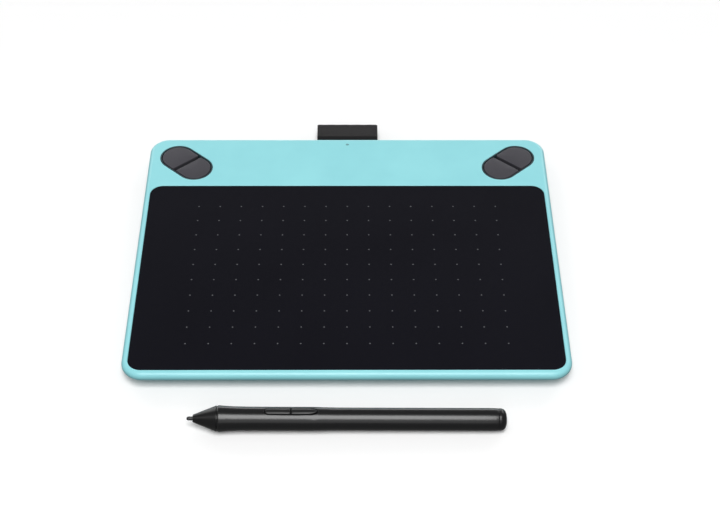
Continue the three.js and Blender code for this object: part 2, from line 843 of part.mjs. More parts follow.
function penBarrel() {
  const front = penConeEnd + fitGap;
  const step = collarEnd + 2 * fitGap;
  const socketRadius = collarRadius + fitGap;
  const tube = turned([
    [front, socketRadius],
    [front, penRingRadius - 0.25],
    [penRingX, penRingRadius],
    [20, 5.65],
    [27, 5.4],
    [58, 5.4],
    [65, 5.22],
    [100, 5.16],
    [penBarrelEnd, penTailRadius],
    [penBarrelEnd, penBoreRadius],
    [step, penBoreRadius],
    [step, socketRadius],
    [front, socketRadius],
  ], 28);
  const length = penButtonsEnd - penButtonsStart - penButtonsWidth;
  const middle = (penButtonsStart + penButtonsEnd) / 2;
  const window = plate(stadium(length, penButtonsWidth / 2), [penButtonsFloor, 8]);
  return cut(tube, window.translate([middle, 0, 0]));
}

function penEndCap() {
  const start = penBarrelEnd + fitGap;
  return turned([
    [start - 4.4, 0],
    [start - 4.4, penBoreRadius - fitGap],
    [start, penBoreRadius - fitGap],
    [start, penTailRadius],
    [143.3, 4.75],
    [144.3, 3.9],
    [penLength, 2.5],
    [penLength, 0],
  ]);
}

// `end` is -1 for the button nearer the nib and +1 for the one behind it.
function penButton(end) {
  const width = penButtonsWidth - 2 * fitGap;
  const length = penButtonsEnd - penButtonsStart - 2 * fitGap - width;
  const middle = (penButtonsStart + penButtonsEnd) / 2;
  const crown = turned([[20, 0], [20, penButtonTopRadius], [80, penButtonTopRadius], [80, 0]], 48);
  const both = plate(stadium(length, width / 2), [3.6, 8]).translate([middle, 0, 0]).intersect(crown);
  const splitX = penButtonsSplit + end * 0.25;
  const xs = end < 0 ? [20, splitX] : [splitX, 80];
  return both.intersect(block(xs, [-9, 9], [0, 9]));
}

function nibHolder() {
  const bore = nibRadius + fitGap;
  const boreEnd = nibLength + fitGap;
  return turned([
    [holderStart, bore],
    [holderStart, holderRadius],
    [holderEnd, holderRadius],
    [holderEnd, 0],
    [boreEnd, 0],
    [boreEnd, bore],
    [holderStart, bore],
  ]);
}

function penCoil() {
  return turned([
    [coilStart, coilInnerRadius],
    [coilStart, coilOuterRadius],
    [coilEnd, coilOuterRadius],
    [coilEnd, coilInnerRadius],
    [coilStart, coilInnerRadius],
  ]);
}

// A solid round bar on the pen's axis.
function penBar(start, end, radius) {
  return turned([[start, 0], [start, radius], [end, radius], [end, 0]]);
}

function penSwitch(x) {
  const base = block([x - 1.8, x + 1.8], [-1.6, 1.6], [penBoardTop + fitGap, 2.7]);
  const plunger = block([x - 0.8, x + 0.8], [-0.8, 0.8], [2.7 - weld, 2.95]);
  return union(base, plunger);
}

function addPenInside(pen) {
  piece('nib_holder', nibHolder(), ferrite, pen);
  piece('pen_coil', penCoil(), copper, pen);
  const sensor = penBar(pressureSensorStart, pressureSensorEnd, collarRadius - 1);
  piece('pressure_sensor', sensor, chipPlastic, pen);
  const lowerHalf = block([0, penLength], [-9, 9], [-9, chassisTop]);
  const chassis = penBar(chassisStart, chassisEnd, chassisRadius).intersect(lowerHalf);
  piece('pen_chassis', chassis, chipPlastic, pen);
  const boardHeights = [chassisTop + fitGap, penBoardTop];
  piece('pen_board', block([chassisStart, 110], [-3.3, 3.3], boardHeights), circuitBoard, pen);
  piece('pen_switch_front', penSwitch(penSwitchX.front), aluminium, pen);
  piece('pen_switch_rear', penSwitch(penSwitchX.rear), aluminium, pen);
}

function addPen(root) {
  const pen = new THREE.Group();
  const contactX = penBarrelEnd;
  const tilt = Math.asin((penRingRadius - penTailRadius) / (contactX - penRingX));
  pen.rotation.y = tilt;
  const ringZ = penRingRadius / Math.cos(tilt);
  const tipZ = ringZ + penRingX * Math.sin(tilt) + 0.02;
  pen.position.set(penMiddleX - penLength / 2, penAxisY, tipZ);
  root.add(pen);

  piece('pen_nose_cone', penNoseCone(), conePlastic, pen);
  piece('pen_barrel', penBarrel(), penPlastic, pen);
  piece('pen_end_cap', penEndCap(), penPlastic, pen);
  piece('nib', nib(), nibPlastic, pen);
  piece('pen_button_front', penButton(-1), keyPlastic, pen);
  piece('pen_button_rear', penButton(1), keyPlastic, pen);
  addPenInside(pen);
}

// ---------------------------------------------------------------- the whole object

const root = new THREE.Group();
const object = new THREE.Group();
object.position.y = outlineShiftY;
root.add(object);

const tablet = new THREE.Group();
object.add(tablet);
piece('top_case', topCase(), mintPlastic, tablet);
piece('bottom_case', bottomCase(), mintPlastic, tablet);
piece('drawing_surface', drawingSurface(), surfaceSheet, tablet);
addKeyPod(tablet, -1);
addKeyPod(tablet, 1);
addElectronics(tablet);
addUsbInlet(tablet);
piece('pen_loop', penLoop(), wovenFabric, tablet);
piece('loop_anchor', loopAnchor(), chipPlastic, tablet);
addAccessoryBay(tablet);
addFastenings(tablet);
addPen(object);

export default root;
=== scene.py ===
import json
from math import asin, cos, exp, hypot, pi, radians, sin, sqrt, tan

import bmesh
import bpy
from mathutils import Matrix, Vector
from mathutils.geometry import delaunay_2d_cdt


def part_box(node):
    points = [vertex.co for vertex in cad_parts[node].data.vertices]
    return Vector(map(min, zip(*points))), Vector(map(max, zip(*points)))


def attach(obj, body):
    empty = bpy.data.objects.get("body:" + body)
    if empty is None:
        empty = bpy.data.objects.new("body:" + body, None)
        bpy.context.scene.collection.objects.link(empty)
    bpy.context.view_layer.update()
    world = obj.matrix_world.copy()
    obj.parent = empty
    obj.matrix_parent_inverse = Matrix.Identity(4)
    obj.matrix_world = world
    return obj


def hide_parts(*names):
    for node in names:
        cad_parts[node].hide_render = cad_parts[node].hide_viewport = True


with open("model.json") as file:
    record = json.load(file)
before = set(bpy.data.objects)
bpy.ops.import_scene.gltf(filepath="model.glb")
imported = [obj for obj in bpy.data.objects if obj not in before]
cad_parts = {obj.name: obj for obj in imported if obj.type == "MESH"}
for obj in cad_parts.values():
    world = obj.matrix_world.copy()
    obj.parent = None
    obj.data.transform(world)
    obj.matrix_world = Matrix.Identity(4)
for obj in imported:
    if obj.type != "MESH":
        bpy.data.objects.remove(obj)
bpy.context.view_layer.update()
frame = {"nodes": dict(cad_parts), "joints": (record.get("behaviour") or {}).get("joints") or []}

# Looks of the pen drawing tablet: shells, drawing sheet, express keys, pen loop and cordless pen.
# Shapes are worked out in millimetres in the frame of the CAD model, and scaled to metres when made.

SCENE = bpy.context.scene
MM = 0.001
QUARTER = pi / 2
LEFT, RIGHT = -1, 1
OUTER, INNER = -1, 1
FRONT, REAR = -1, 1
CORNERS = ("front_left", "front_right", "rear_left", "rear_right")
FEET = [f"foot_{corner}" for corner in CORNERS]
SCREWS = [f"case_screw_{corner}" for corner in CORNERS]
SPARES = [f"spare_nib_{number}" for number in (1, 2, 3)]

# Meshing: smooth shading stops at the sharp angle; the two distances are in metres.
SHARP_ANGLE = radians(38)
MERGE_DISTANCE = 1e-7
DEGENERATE_LENGTH = 1e-8
TRIANGLES_INSIDE_ONLY = 1
FLAT_TOLERANCE = 1e-6

# Camera: place and lens in millimetres, turn in degrees, clipping distances in metres.
CAMERA_PLACE = (2.1, -571.6, 556.95)
CAMERA_TURN = (46.0, -0.31, -0.03)
CAMERA_LENS = 79.75
SENSOR_WIDTH = 36
CLIP_START, CLIP_END = 0.05, 20

# Lights in metres and watts: name, place, size, power, and the point aimed at where it isn't the origin.
LIGHTS = [
    ("overhead", (0, -1.2, 2.2), (1.05, 1.8), 57.5, (0, -1.2, 0)),
    ("front", (0, -2.2, 1.15), (1.2, 1.5), 5.5),
    ("left", (-2.1, -0.9, 2.0), (1.0, 1.4), 4),
    ("rear_left", (-1.3, 1.7, 1.2), (0.8, 0.8), 4.5),
    ("rear_right", (1.3, 1.7, 1.2), (0.8, 0.8), 6),
    ("behind", (0, 1.6, 0.24), (2.4, 0.45), 11),
]
ROOM_LIGHT = 0.2
FLOOR_HALF = 3000
FLOOR_CORNER = 5
FLOOR_LEVEL = -0.02

# Case: radii, heights, walls and the depths of its recesses.
CASE_RADIUS = 10
EDGE_HEIGHT = 5
EDGE_ROUND = 2.4
UNDERSIDE_INSET = 9
UNDERSIDE_ROUND = 3.2
SHEET_RADIUS = 6.6
SHEET_RECESS = 1.05
FIT_GAP = 0.3
DECK_UNDERSIDE = 7.75
STRIP_UNDERSIDE = 8.8
STRIP_WALL = 2.6
BASE_WALL = 1.5
SOLE_SIZE = (12, 4)
FOOT_RECESS = 0.5
SCREW_RECESS = 1.4
SCREW_HOLE_RADIUS = 2.2
USB_HEIGHT = 2.6
USB_DEPTH = 6.5
LOOP_SLOT_RISE = 1.05
LOOP_SLOT_DEPTH = 8
LIGHT_LENGTH = 0.35
LIGHT_RADIUS = 0.68
LIGHT_GAP = 0.07
LIGHT_SETBACK = 0.8

# Key pods: a collar round two keys, whose split is turned and set off a little from the middle.
POD_ANGLE = radians(42.75)
POD_LENGTH = 12.7
POD_RADIUS = 9.52
BEZEL_INNER_RADIUS = 8.75
KEY_RADIUS = 8.25
KEY_SPLIT_HALF = 1.0
KEY_SPLIT_TILT = radians(7.4)
KEY_SPLIT_OFFSET = 0.5
KEY_SPLIT_ROUND = 0.7
KEY_CROWN = 0.2
KEY_EDGE = 0.25

# Dot grid printed on the sheet.
DOT_COLUMNS = 15
DOT_ROWS = 10
DOT_PITCH_X = 10.857
DOT_PITCH_Y = 10.7
DOT_RADIUS = 0.35
DOTS_BEHIND_MIDDLE = 0.3

# Pen, lengths along it from the tip of its nib.
PEN_LENGTH = 144.8
CONE_START = 2.8
CONE_END = 13.6
BARREL_RING = 14.5
BARREL_END = 141.1
CAP_RADIUS = 5.04
CAP_SQUARENESS = 0.72
BUTTONS_START = 35.1
BUTTONS_END = 59.6
BUTTONS_SPLIT = 47.2
BUTTONS_HALF_WIDTH = 2.0
BUTTONS_NOSE = 4.4
NIB_RADIUS = 0.9
NIB_LENGTH = 17

# Pen buttons and their recess; heights are above the pen's axis.
BUTTON_PIVOT_HEIGHT = 4.5
BUTTON_FOOT = 3.75
BUTTON_TOP = 5.75
BUTTON_CROWN = 3.0
BUTTON_EDGE = 0.32
BUTTON_GAP = 0.34
BUTTON_SPLIT_HALF = 0.25
BUTTON_SPLIT_ROUND = 0.35
RECESS_EDGE = 0.22
RECESS_BORDER = 0.55
RECESS_FLOOR = 3.0

# Pen barrel: its radius, and what the grip and the nose add and the tail takes off.
BARREL_RADIUS = 5.16
GRIP_END = 61.5
GRIP_SWELL = 0.24
GRIP_FADE = 1.6
NOSE_FLARE = 0.6
FLARE_LENGTH = 5.2
CHAMFER_SLOPE = 0.42
TAIL_START = 136.5
TAIL_DRAW = 0.12
REAR_EDGE = 0.35
REAR_EDGE_DRAW = 0.12
BARREL_STEPS = 72
UNROLL_RADIUS = 5.4

# Ribbon of the pen loop: its plies lie together in the case and spread apart behind its neck.
RIBBON_THICKNESS = 0.72
PLY_OFFSET = 0.38
NECK_START = 8.0
NECK_END = 10.8
SELVAGE = 0.3
WAVE_HEIGHT = 0.05


def box_mm(node):
    low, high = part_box(node)
    return low / MM, high / MM


def middle(node):
    low, high = box_mm(node)
    return (low + high) / 2


# ---- outlines, as lists of (x, y)


def arc(x, y, radius, start, end, steps):
    turns = [start + (end - start) * i / steps for i in range(steps + 1)]
    return [(x + radius * cos(a), y + radius * sin(a)) for a in turns]


def rounded_rectangle(x0, x1, y0, y1, radius, steps=16):
    r = max(radius, 0.01)
    corners = [(x1 - r, y0 + r), (x1 - r, y1 - r), (x0 + r, y1 - r), (x0 + r, y0 + r)]
    points = []
    for i, (x, y) in enumerate(corners):
        points += arc(x, y, r, (i - 1) * QUARTER, i * QUARTER, steps)
    return points


def around(low, high, out, radius, steps=16):
    """The outline of a box's plan, grown by `out`."""
    return rounded_rectangle(low.x - out, high.x + out, low.y - out, high.y + out, radius, steps)


def stadium(length, radius, steps=24):
    half = length / 2
    right = arc(half, 0, radius, -QUARTER, QUARTER, steps)
    return right + arc(-half, 0, radius, QUARTER, 3 * QUARTER, steps)


def circle(x, y, radius, steps=32):
    return arc(x, y, radius, 0, 2 * pi, steps)[:-1]


def moved(points, x, y, turn=0.0):
    c, s = cos(turn), sin(turn)
    return [(x + c * px - s * py, y + s * px + c * py) for px, py in points]


def rounded_corners(corners, steps=5):
    """An open line of (a, b, radius) corners as (a, b) points, with a true arc at each rounded corner."""
    points = []
    for i, (a, b, radius) in enumerate(corners):
        here = Vector((a, b))
        if radius == 0 or i in (0, len(corners) - 1):
            points.append((a, b))
            continue
        back = (Vector(corners[i - 1][:2]) - here).normalized()
        on = (Vector(corners[i + 1][:2]) - here).normalized()
        half = back.angle(on) / 2
        centre = here + (back + on).normalized() * (radius / sin(half))
        start = here + back * (radius / tan(half)) - centre
        end = here + on * (radius / tan(half)) - centre
        sweep = start.angle_signed(end)
        for k in range(steps + 1):
            points += moved([start], centre.x, centre.y, -sweep * k / steps)
    return points


def quarter_round(radius, steps):
    """(inset, drop) points from an upright side over a rounded edge on to a flat top."""
    turns = [QUARTER * i / steps for i in range(steps + 1)]
    return [(radius * (1 - cos(a)), radius * (1 - sin(a))) for a in turns]


def block_profile(z0, z1, radius0, radius1, steps):
    """(inset, z) points of a block's upright side, with its edges at z0 and z1 rounded."""
    return rounded_corners([(1, z0, 0), (0, z0, radius0), (0, z1, radius1), (1, z1, 0)], steps)[1:-1]


def contains(outline, x, y):
    inside = False
    for (xa, ya), (xb, yb) in zip(outline, outline[1:] + outline[:1]):
        if (ya > y) != (yb > y) and x < (xb - xa) * (y - ya) / (yb - ya) + xa:
            inside = not inside
    return inside


# ---- surfaces


class Skin:
    """One closed surface, put together from rings of points."""

    def __init__(self):
        self.points = []
        self.faces = []

    def ring3(self, points):
        first = len(self.points)
        self.points += points
        return list(range(first, len(self.points)))

    def ring(self, outline, z):
        return self.ring3([(x, y, z) for x, y in outline])

    def bridge(self, a, b):
        """Faces between two rings of as many points, or between a ring and a single point."""
        if len(a) < len(b):
            a, b = b, a
        for i in range(len(a)):
            j = (i + 1) % len(a)
            self.faces.append((a[i], a[j], b[0]) if len(b) == 1 else (a[i], a[j], b[j], b[i]))

    def join(self, rings):
        for a, b in zip(rings, rings[1:]):
            self.bridge(a, b)

    def sweep(self, outline, profile):
        """Joins rings of outline(inset) at each (inset, z) of the profile; returns the end rings."""
        rings = [self.ring(outline(inset), z) for inset, z in profile]
        self.join(rings)
        return rings[0], rings[-1]

    def block(self, outline, profile):
        """A sweep with both end rings filled flat."""
        for ring in self.sweep(outline, profile):
            self.fill(ring)

    def fill(self, outer, holes=(), extra=(), flat=None):
        """Triangles between an outer ring and the rings of its holes, through the extra points.

        `flat` holds each point's place in the plane that is filled, where that isn't its x and y.
        """
        rings = [outer, *holes]
        ids = [i for ring in rings for i in ring] + list(extra)
        flat = flat or {i: self.points[i][:2] for i in ids}
        edges, start = [], 0
        for ring in rings:
            edges += [(start + k, start + (k + 1) % len(ring)) for k in range(len(ring))]
            start += len(ring)
        places, _, triangles, sources, _, _ = delaunay_2d_cdt(
            [Vector(flat[i]) for i in ids], edges, [], TRIANGLES_INSIDE_ONLY, FLAT_TOLERANCE)
        outlines = [[flat[i] for i in ring] for ring in holes]
        for triangle in triangles:
            x = sum(places[i].x for i in triangle) / 3
            y = sum(places[i].y for i in triangle) / 3
            if not any(contains(o, x, y) for o in outlines):
                self.faces.append(tuple(ids[sources[i][0]] for i in triangle))

    def crown(self, ring, centre, height, rings):
        """Closes a ring with rings that shrink to its centre, at height(share, x, y)."""
        cx, cy = centre
        edge = [self.points[i] for i in ring]
        steps = [ring]
        for k in range(rings - 1, 0, -1):
            share = k / rings
            points = []
            for x, y, _ in edge:
                px, py = cx + (x - cx) * share, cy + (y - cy) * share
                points.append((px, py, height(share, px, py)))
            steps.append(self.ring3(points))
        steps.append(self.ring3([(cx, cy, height(0, cx, cy))]))
        self.join(steps)

    def tube(self, sections):
        """Closed rings of 3-D points joined in turn, with a face over each end."""
        rings = [self.ring3(s) for s in sections]
        self.join(rings)
        self.faces += [tuple(rings[0]), tuple(rings[-1])]

    def make(self, name, place=None):
        mesh = bpy.data.meshes.new(name)
        mesh.from_pydata([Vector(p) * MM for p in self.points], [], self.faces)
        tidy(mesh)
        if place is not None:
            mesh.transform(place)
        piece = bpy.data.objects.new(name, mesh)
        SCENE.collection.objects.link(piece)
        return piece


def tidy(mesh):
    """Merges doubled points, turns every face outwards and shades smooth up to sharp corners."""
    work = bmesh.new()
    work.from_mesh(mesh)
    bmesh.ops.remove_doubles(work, verts=work.verts, dist=MERGE_DISTANCE)
    bmesh.ops.dissolve_degenerate(work, edges=work.edges, dist=DEGENERATE_LENGTH)
    bmesh.ops.recalc_face_normals(work, faces=work.faces)
    work.to_mesh(mesh)
    work.free()
    mesh.polygons.foreach_set("use_smooth", [True] * len(mesh.polygons))
    mesh.set_sharp_from_angle(angle=SHARP_ANGLE)


def cut(piece, cutter):
    """Takes the cutter's space out of the piece, and removes the cutter."""
    boolean = piece.modifiers.new("cut", "BOOLEAN")
    boolean.operation = "DIFFERENCE"
    boolean.solver = "EXACT"
    boolean.object = cutter
    graph = bpy.context.evaluated_depsgraph_get()
    mesh = bpy.data.meshes.new_from_object(piece.evaluated_get(graph))
    piece.modifiers.clear()
    piece.data = mesh
    bpy.data.objects.remove(cutter)
    tidy(mesh)


def set_piece(piece, material, node, body="tablet"):
    """Weights the shading by face size, sets the piece on its body and hides the CAD node it stands for."""
    piece.data.materials.clear()
    piece.data.materials.append(material)
    weighted = piece.modifiers.new("shading", "WEIGHTED_NORMAL")
    weighted.keep_sharp = True
    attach(piece, body)
    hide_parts(node)


def set_shell(piece, node, body="tablet"):
    set_piece(piece, MINT, node, body)


def turned(profile, steps):
    """A skin of (x, radius) points turned about the X axis; ends on the axis are closed."""
    skin = Skin()
    turns = [2 * pi * i / steps for i in range(steps)]
    rings = []
    for x, radius in profile:
        stops = turns if radius else [0]
        rings.append(skin.ring3([(x, radius * sin(a), radius * cos(a)) for a in stops]))
    skin.join(rings)
    return skin


def block_skin(x0, x1, y0, y1, z0, z1, radius=0.2):
    """A block with its upright corners and both flat faces' edges rounded."""

    def outline(inset):
        return rounded_rectangle(x0 + inset, x1 - inset, y0 + inset, y1 - inset, 2 * radius - inset, 4)

    skin = Skin()
    skin.block(outline, block_profile(z0, z1, radius, radius, 3))
    return skin


# ---- materials


def linear(colour):
    """A display colour of 0 to 255 as a linear one."""
    shares = [c / 255 for c in colour]
    return (*[s / 12.92 if s <= 0.04045 else ((s + 0.055) / 1.055) ** 2.4 for s in shares], 1)


class Look:
    """A node material around one Principled shader; its noise scales are grains a metre."""

    def __init__(self, name, roughness=0.5, specular=0.5, metallic=0.0, **shader):
        self.material = bpy.data.materials.new(name)
        self.material.use_nodes = True
        self.tree = self.material.node_tree
        self.tree.nodes.clear()
        basics = {"Roughness": roughness, "Specular IOR Level": specular, "Metallic": metallic}
        others = {socket.replace("_", " "): value for socket, value in shader.items()}
        self.shader = self.node("ShaderNodeBsdfPrincipled", basics | others)
        self.node("ShaderNodeOutputMaterial", {"Surface": self.shader.outputs["BSDF"]})
        self.where = self.node("ShaderNodeTexCoord").outputs["Object"]

    def feed(self, socket, value):
        if isinstance(value, bpy.types.NodeSocket):
            self.tree.links.new(value, socket)
        else:
            socket.default_value = value

    def node(self, kind, inputs=(), **settings):
        node = self.tree.nodes.new(kind)
        for name, value in settings.items():
            setattr(node, name, value)
        for socket, value in dict(inputs).items():
            self.feed(node.inputs[socket], value)
        return node

    def stretched(self, scale, turn=(0, 0, 0)):
        sockets = {"Vector": self.where, "Scale": scale, "Rotation": turn}
        return self.node("ShaderNodeMapping", sockets).outputs["Vector"]

    def noise(self, scale, detail=3.0, where=None):
        sockets = {"Vector": where or self.where, "Scale": scale, "Detail": detail}
        return self.node("ShaderNodeTexNoise", sockets).outputs["Fac"]

    def spread(self, noise, low, high):
        """Stretches the range that most noise lies in to low..high."""
        sockets = {"Value": noise, "From Min": 0.3, "From Max": 0.7, "To Min": low, "To Max": high}
        return self.node("ShaderNodeMapRange", sockets).outputs["Result"]

    def maths(self, operation, a, b=0.0):
        return self.node("ShaderNodeMath", {0: a, 1: b}, operation=operation).outputs["Value"]

    def colour(self, factor, dark, light):
        """Mixes the base colour from two display colours."""
        node = self.node("ShaderNodeMix", {"Factor": factor}, data_type="RGBA")
        first, second = [s for s in node.inputs if s.type == "RGBA"]
        first.default_value = linear(dark)
        second.default_value = linear(light)
        mixed = next(s for s in node.outputs if s.type == "RGBA")
        self.feed(self.shader.inputs["Base Color"], mixed)

    def rough(self, value):
        self.feed(self.shader.inputs["Roughness"], value)

    def bump(self, height, distance):
        """Bumps as deep as the distance, in millimetres."""
        sockets = {"Height": height, "Distance": distance * MM, "Strength": 1.0}
        normal = self.node("ShaderNodeBump", sockets).outputs["Normal"]
        self.feed(self.shader.inputs["Normal"], normal)


def moulded(name, dark, light, roughness, grain=0.012, grain_scale=4200, **shader):
    """Moulded plastic: slow colour drift, fine spark texture, and roughness that varies a little."""
    look = Look(name, **shader)
    look.colour(look.spread(look.noise(45, 4), 0, 1), dark, light)
    look.rough(look.spread(look.noise(260, 5), roughness - 0.04, roughness + 0.05))
    look.bump(look.noise(grain_scale, 2), grain)
    return look.material


def drawing_sheet():
    """Matt printed film with a paper-like tooth and the faint rub marks of a nib."""
    look = Look("drawing_sheet", specular=0.06)
    drift = look.spread(look.noise(18, 3), 0, 1)
    look.colour(drift, (10, 10, 18), (13, 13, 21))
    rub = look.noise(1, 3, look.stretched((160, 260, 160), (0, 0, 0.6)))
    look.rough(look.spread(rub, 0.54, 0.58))
    tooth = look.maths("ADD", look.noise(5200, 2), look.noise(1900, 3))
    look.bump(tooth, 0.012)
    return look.material


def printed_ink():
    look = Look("printed_ink", roughness=0.6, specular=0.3)
    look.colour(look.noise(3000, 2), (82, 84, 88), (104, 106, 110))
    return look.material


def woven_ribbon():
    """Close plain weave; the UV map holds millimetres across and along the ribbon."""
    warp_pitch, weft_pitch = 0.42, 0.3
    look = Look("woven_ribbon", roughness=0.85, specular=0.15, Sheen_Weight=0.1, Sheen_Roughness=0.45)
    where = look.node("ShaderNodeUVMap", uv_map="weave").outputs["UV"]
    parts = look.node("ShaderNodeSeparateXYZ", {"Vector": where})
    across, along = parts.outputs["X"], parts.outputs["Y"]
    warp = look.maths("SINE", look.maths("MULTIPLY", across, 2 * pi / warp_pitch))
    weft = look.maths("SINE", look.maths("MULTIPLY", along, 2 * pi / weft_pitch))
    weave = look.maths("MULTIPLY", warp, weft)
    fibres = look.noise(9000, 3)
    height = look.maths("ADD", weave, look.maths("MULTIPLY", fibres, 0.7))
    # The colour is a random fibre tone plus painted shade and highlight: darker in the weave's dips and
    # lighter on its crests, following the same weave as the bump.
    tone = look.maths("ADD", look.maths("MULTIPLY", weave, 0.4), look.noise(5200, 4))
    look.colour(look.spread(tone, 0, 1), (21, 20, 21), (43, 41, 42))
    look.bump(height, 0.06)
    return look.material


def pen_skin(name, dark, light, roughness, specular=0.5):
    """Satin soft-touch plastic with a very fine grain drawn out along the pen."""
    look = Look(name, specular=specular)
    streak = look.noise(1, 4, look.stretched((420, 2600, 2600)))
    look.colour(look.spread(streak, 0, 1), dark, light)
    look.rough(look.spread(look.noise(5200, 3), roughness - 0.01, roughness + 0.015))
    look.bump(look.noise(14000, 2), 0.0008)
    return look.material


def metal(name, tone, roughness, scale=(2500, 2500, 2500)):
    """Metal with a fine grain, drawn out into brush lines along an axis of smaller scale."""
    look = Look(name, metallic=1.0)
    lines = look.noise(1, 5, look.stretched(scale))
    darker = tuple(round(c * 0.86) for c in tone)
    look.colour(look.spread(lines, 0, 1), darker, tone)
    look.rough(look.spread(lines, roughness - 0.06, roughness + 0.08))
    look.bump(lines, 0.003)
    return look.material


def circuit_board():
    """Solder resist over tracks that run square to each other, with a scatter of vias."""
    look = Look("circuit_board", roughness=0.35)
    bricks = {"Vector": look.where, "Scale": 260.0, "Mortar Size": 0.06}
    tracks = look.node("ShaderNodeTexBrick", bricks)
    vias = look.node("ShaderNodeTexVoronoi", {"Vector": look.where, "Scale": 420.0})
    via = look.maths("LESS_THAN", vias.outputs["Distance"], 0.16)
    mixed = look.maths("MAXIMUM", tracks.outputs["Fac"], via)
    look.colour(mixed, (22, 84, 52), (52, 128, 78))
    look.bump(mixed, 0.02)
    return look.material


def banded(name, scale, axis, dark, light, depth, **shader):
    """Bands side by side along an axis: the conductors of a cable or the turns of a winding."""
    look = Look(name, **shader)
    sockets = {"Vector": look.where, "Scale": scale}
    bands = look.node("ShaderNodeTexWave", sockets, bands_direction=axis).outputs["Fac"]
    look.colour(bands, dark, light)
    look.bump(bands, depth)
    return look.material


def light_window():
    """Clear plastic over a lamp that is off."""
    look = Look("light_window", roughness=0.18, Transmission_Weight=0.35, IOR=1.49)
    look.colour(look.noise(2500, 2), (128, 186, 192), (148, 202, 207))
    return look.material


MINT = moulded("mint_plastic", (143, 214, 221), (149, 220, 226), 0.36, grain=0.006)
KEY = moulded("key_plastic", (60, 59, 65), (66, 65, 71), 0.42, grain=0.01, specular=0.4)
BEZEL = moulded("bezel_plastic", (40, 60, 66), (46, 67, 73), 0.4, specular=0.4)
RUBBER = moulded("foot_rubber", (33, 35, 37), (44, 46, 48), 0.75, 0.03, 2600, specular=0.3)
DARK_PLASTIC = moulded("dark_plastic", (18, 19, 20), (27, 28, 30), 0.5, grain=0.015)
FERRITE = moulded("sintered_ferrite", (46, 43, 41), (62, 58, 55), 0.6, 0.03, 3000)
SHEET = drawing_sheet()
INK = printed_ink()
WOVEN = woven_ribbon()
PEN = pen_skin("pen_barrel_skin", (18, 18, 19), (24, 24, 25), 0.26, 0.45)
CONE = pen_skin("pen_cone_skin", (17, 17, 18), (22, 22, 23), 0.3, 0.42)
PEN_KEY = pen_skin("pen_button_skin", (19, 19, 20), (24, 24, 25), 0.34, 0.4)
NIB = pen_skin("nib_plastic", (34, 34, 35), (46, 46, 47), 0.4)
STEEL = metal("plated_steel", (176, 178, 182), 0.3)
ALUMINIUM = metal("shield_aluminium", (190, 193, 197), 0.38, (125, 2500, 2500))
BOARD = circuit_board()
CABLE = banded("ribbon_cable", 320.0, "Y", (196, 186, 160), (232, 226, 208), 0.03, roughness=0.35)
WIRE = {"roughness": 0.3, "metallic": 1.0}
COPPER = banded("copper_winding", 2400.0, "X", (122, 62, 26), (196, 118, 66), 0.05, **WIRE)
LENS = light_window()


# ---- case

TOP_LOW, TOP_HIGH = box_mm("top_case")
SHEET_LOW, SHEET_HIGH = box_mm("drawing_surface")
CASE_TOP = TOP_HIGH.z
BASE = box_mm("bottom_case")[0].z
PARTING = CASE_TOP - EDGE_HEIGHT


def case_outline(inset):
    return around(TOP_LOW, TOP_HIGH, -inset, max(CASE_RADIUS - inset, 0.8))


def sheet_outline(margin):
    return around(SHEET_LOW, SHEET_HIGH, margin + FIT_GAP / 2, SHEET_RADIUS + margin)


def side_label(side):
    return "left" if side == LEFT else "right"


def pod_place(side):
    """(x, y, turn) of a key pod, whose own X axis points to the front and the middle of the tablet."""
    centre = middle(f"key_bezel_{side_label(side)}")
    return centre.x, centre.y, (-POD_ANGLE if side == LEFT else pi + POD_ANGLE)


def pod_outline(side, radius):
    return moved(stadium(POD_LENGTH, radius), *pod_place(side))


def light_place():
    """(x, y) of the light window, in the rear end of its guide."""
    low, high = box_mm("led_light_pipe")
    return (low.x + high.x) / 2, high.y - LIGHT_SETBACK


def light_outline(radius):
    return moved(stadium(LIGHT_LENGTH, radius, 8), *light_place())


def hole(skin, outline, face, end, fillet):
    """A hole's rounded edge and its wall, from the face to its end; outline(margin) grows by the margin."""
    profile = rounded_corners([(-1, face, 0), (0, face, fillet), (0, end, 0)])[1:]
    return skin.sweep(lambda inset: outline(-inset), profile)


def pocket(skin, outline, face, end, fillet=0.15):
    """A hole with a flat floor; returns the ring where its edge meets the face."""
    edge, floor = hole(skin, outline, face, end, fillet)
    skin.fill(floor)
    return edge


def usb_cutter():
    low, high = box_mm("usb_socket")
    y0, y1 = low.y - FIT_GAP, high.y + FIT_GAP
    z0, z1 = high.z - USB_HEIGHT - FIT_GAP, high.z + FIT_GAP
    outline = rounded_rectangle(y0, y1, z0, z1, 0.8, 6)
    skin = Skin()
    skin.tube([[(x, y, z) for y, z in outline] for x in (TOP_LOW.x - 1, TOP_LOW.x + USB_DEPTH)])
    return skin.make("usb_cutter")


def loop_slot_cutter():
    low, high = box_mm("pen_loop")
    z1 = (low.z + high.z) / 2 + LOOP_SLOT_RISE
    outline = rounded_rectangle(low.x - FIT_GAP, high.x + FIT_GAP, PARTING - 1, z1, 0.4, 4)
    skin = Skin()
    rear = TOP_HIGH.y
    skin.tube([[(x, y, z) for x, z in outline] for y in (rear - LOOP_SLOT_DEPTH, rear + 1)])
    return skin.make("slot_cutter")


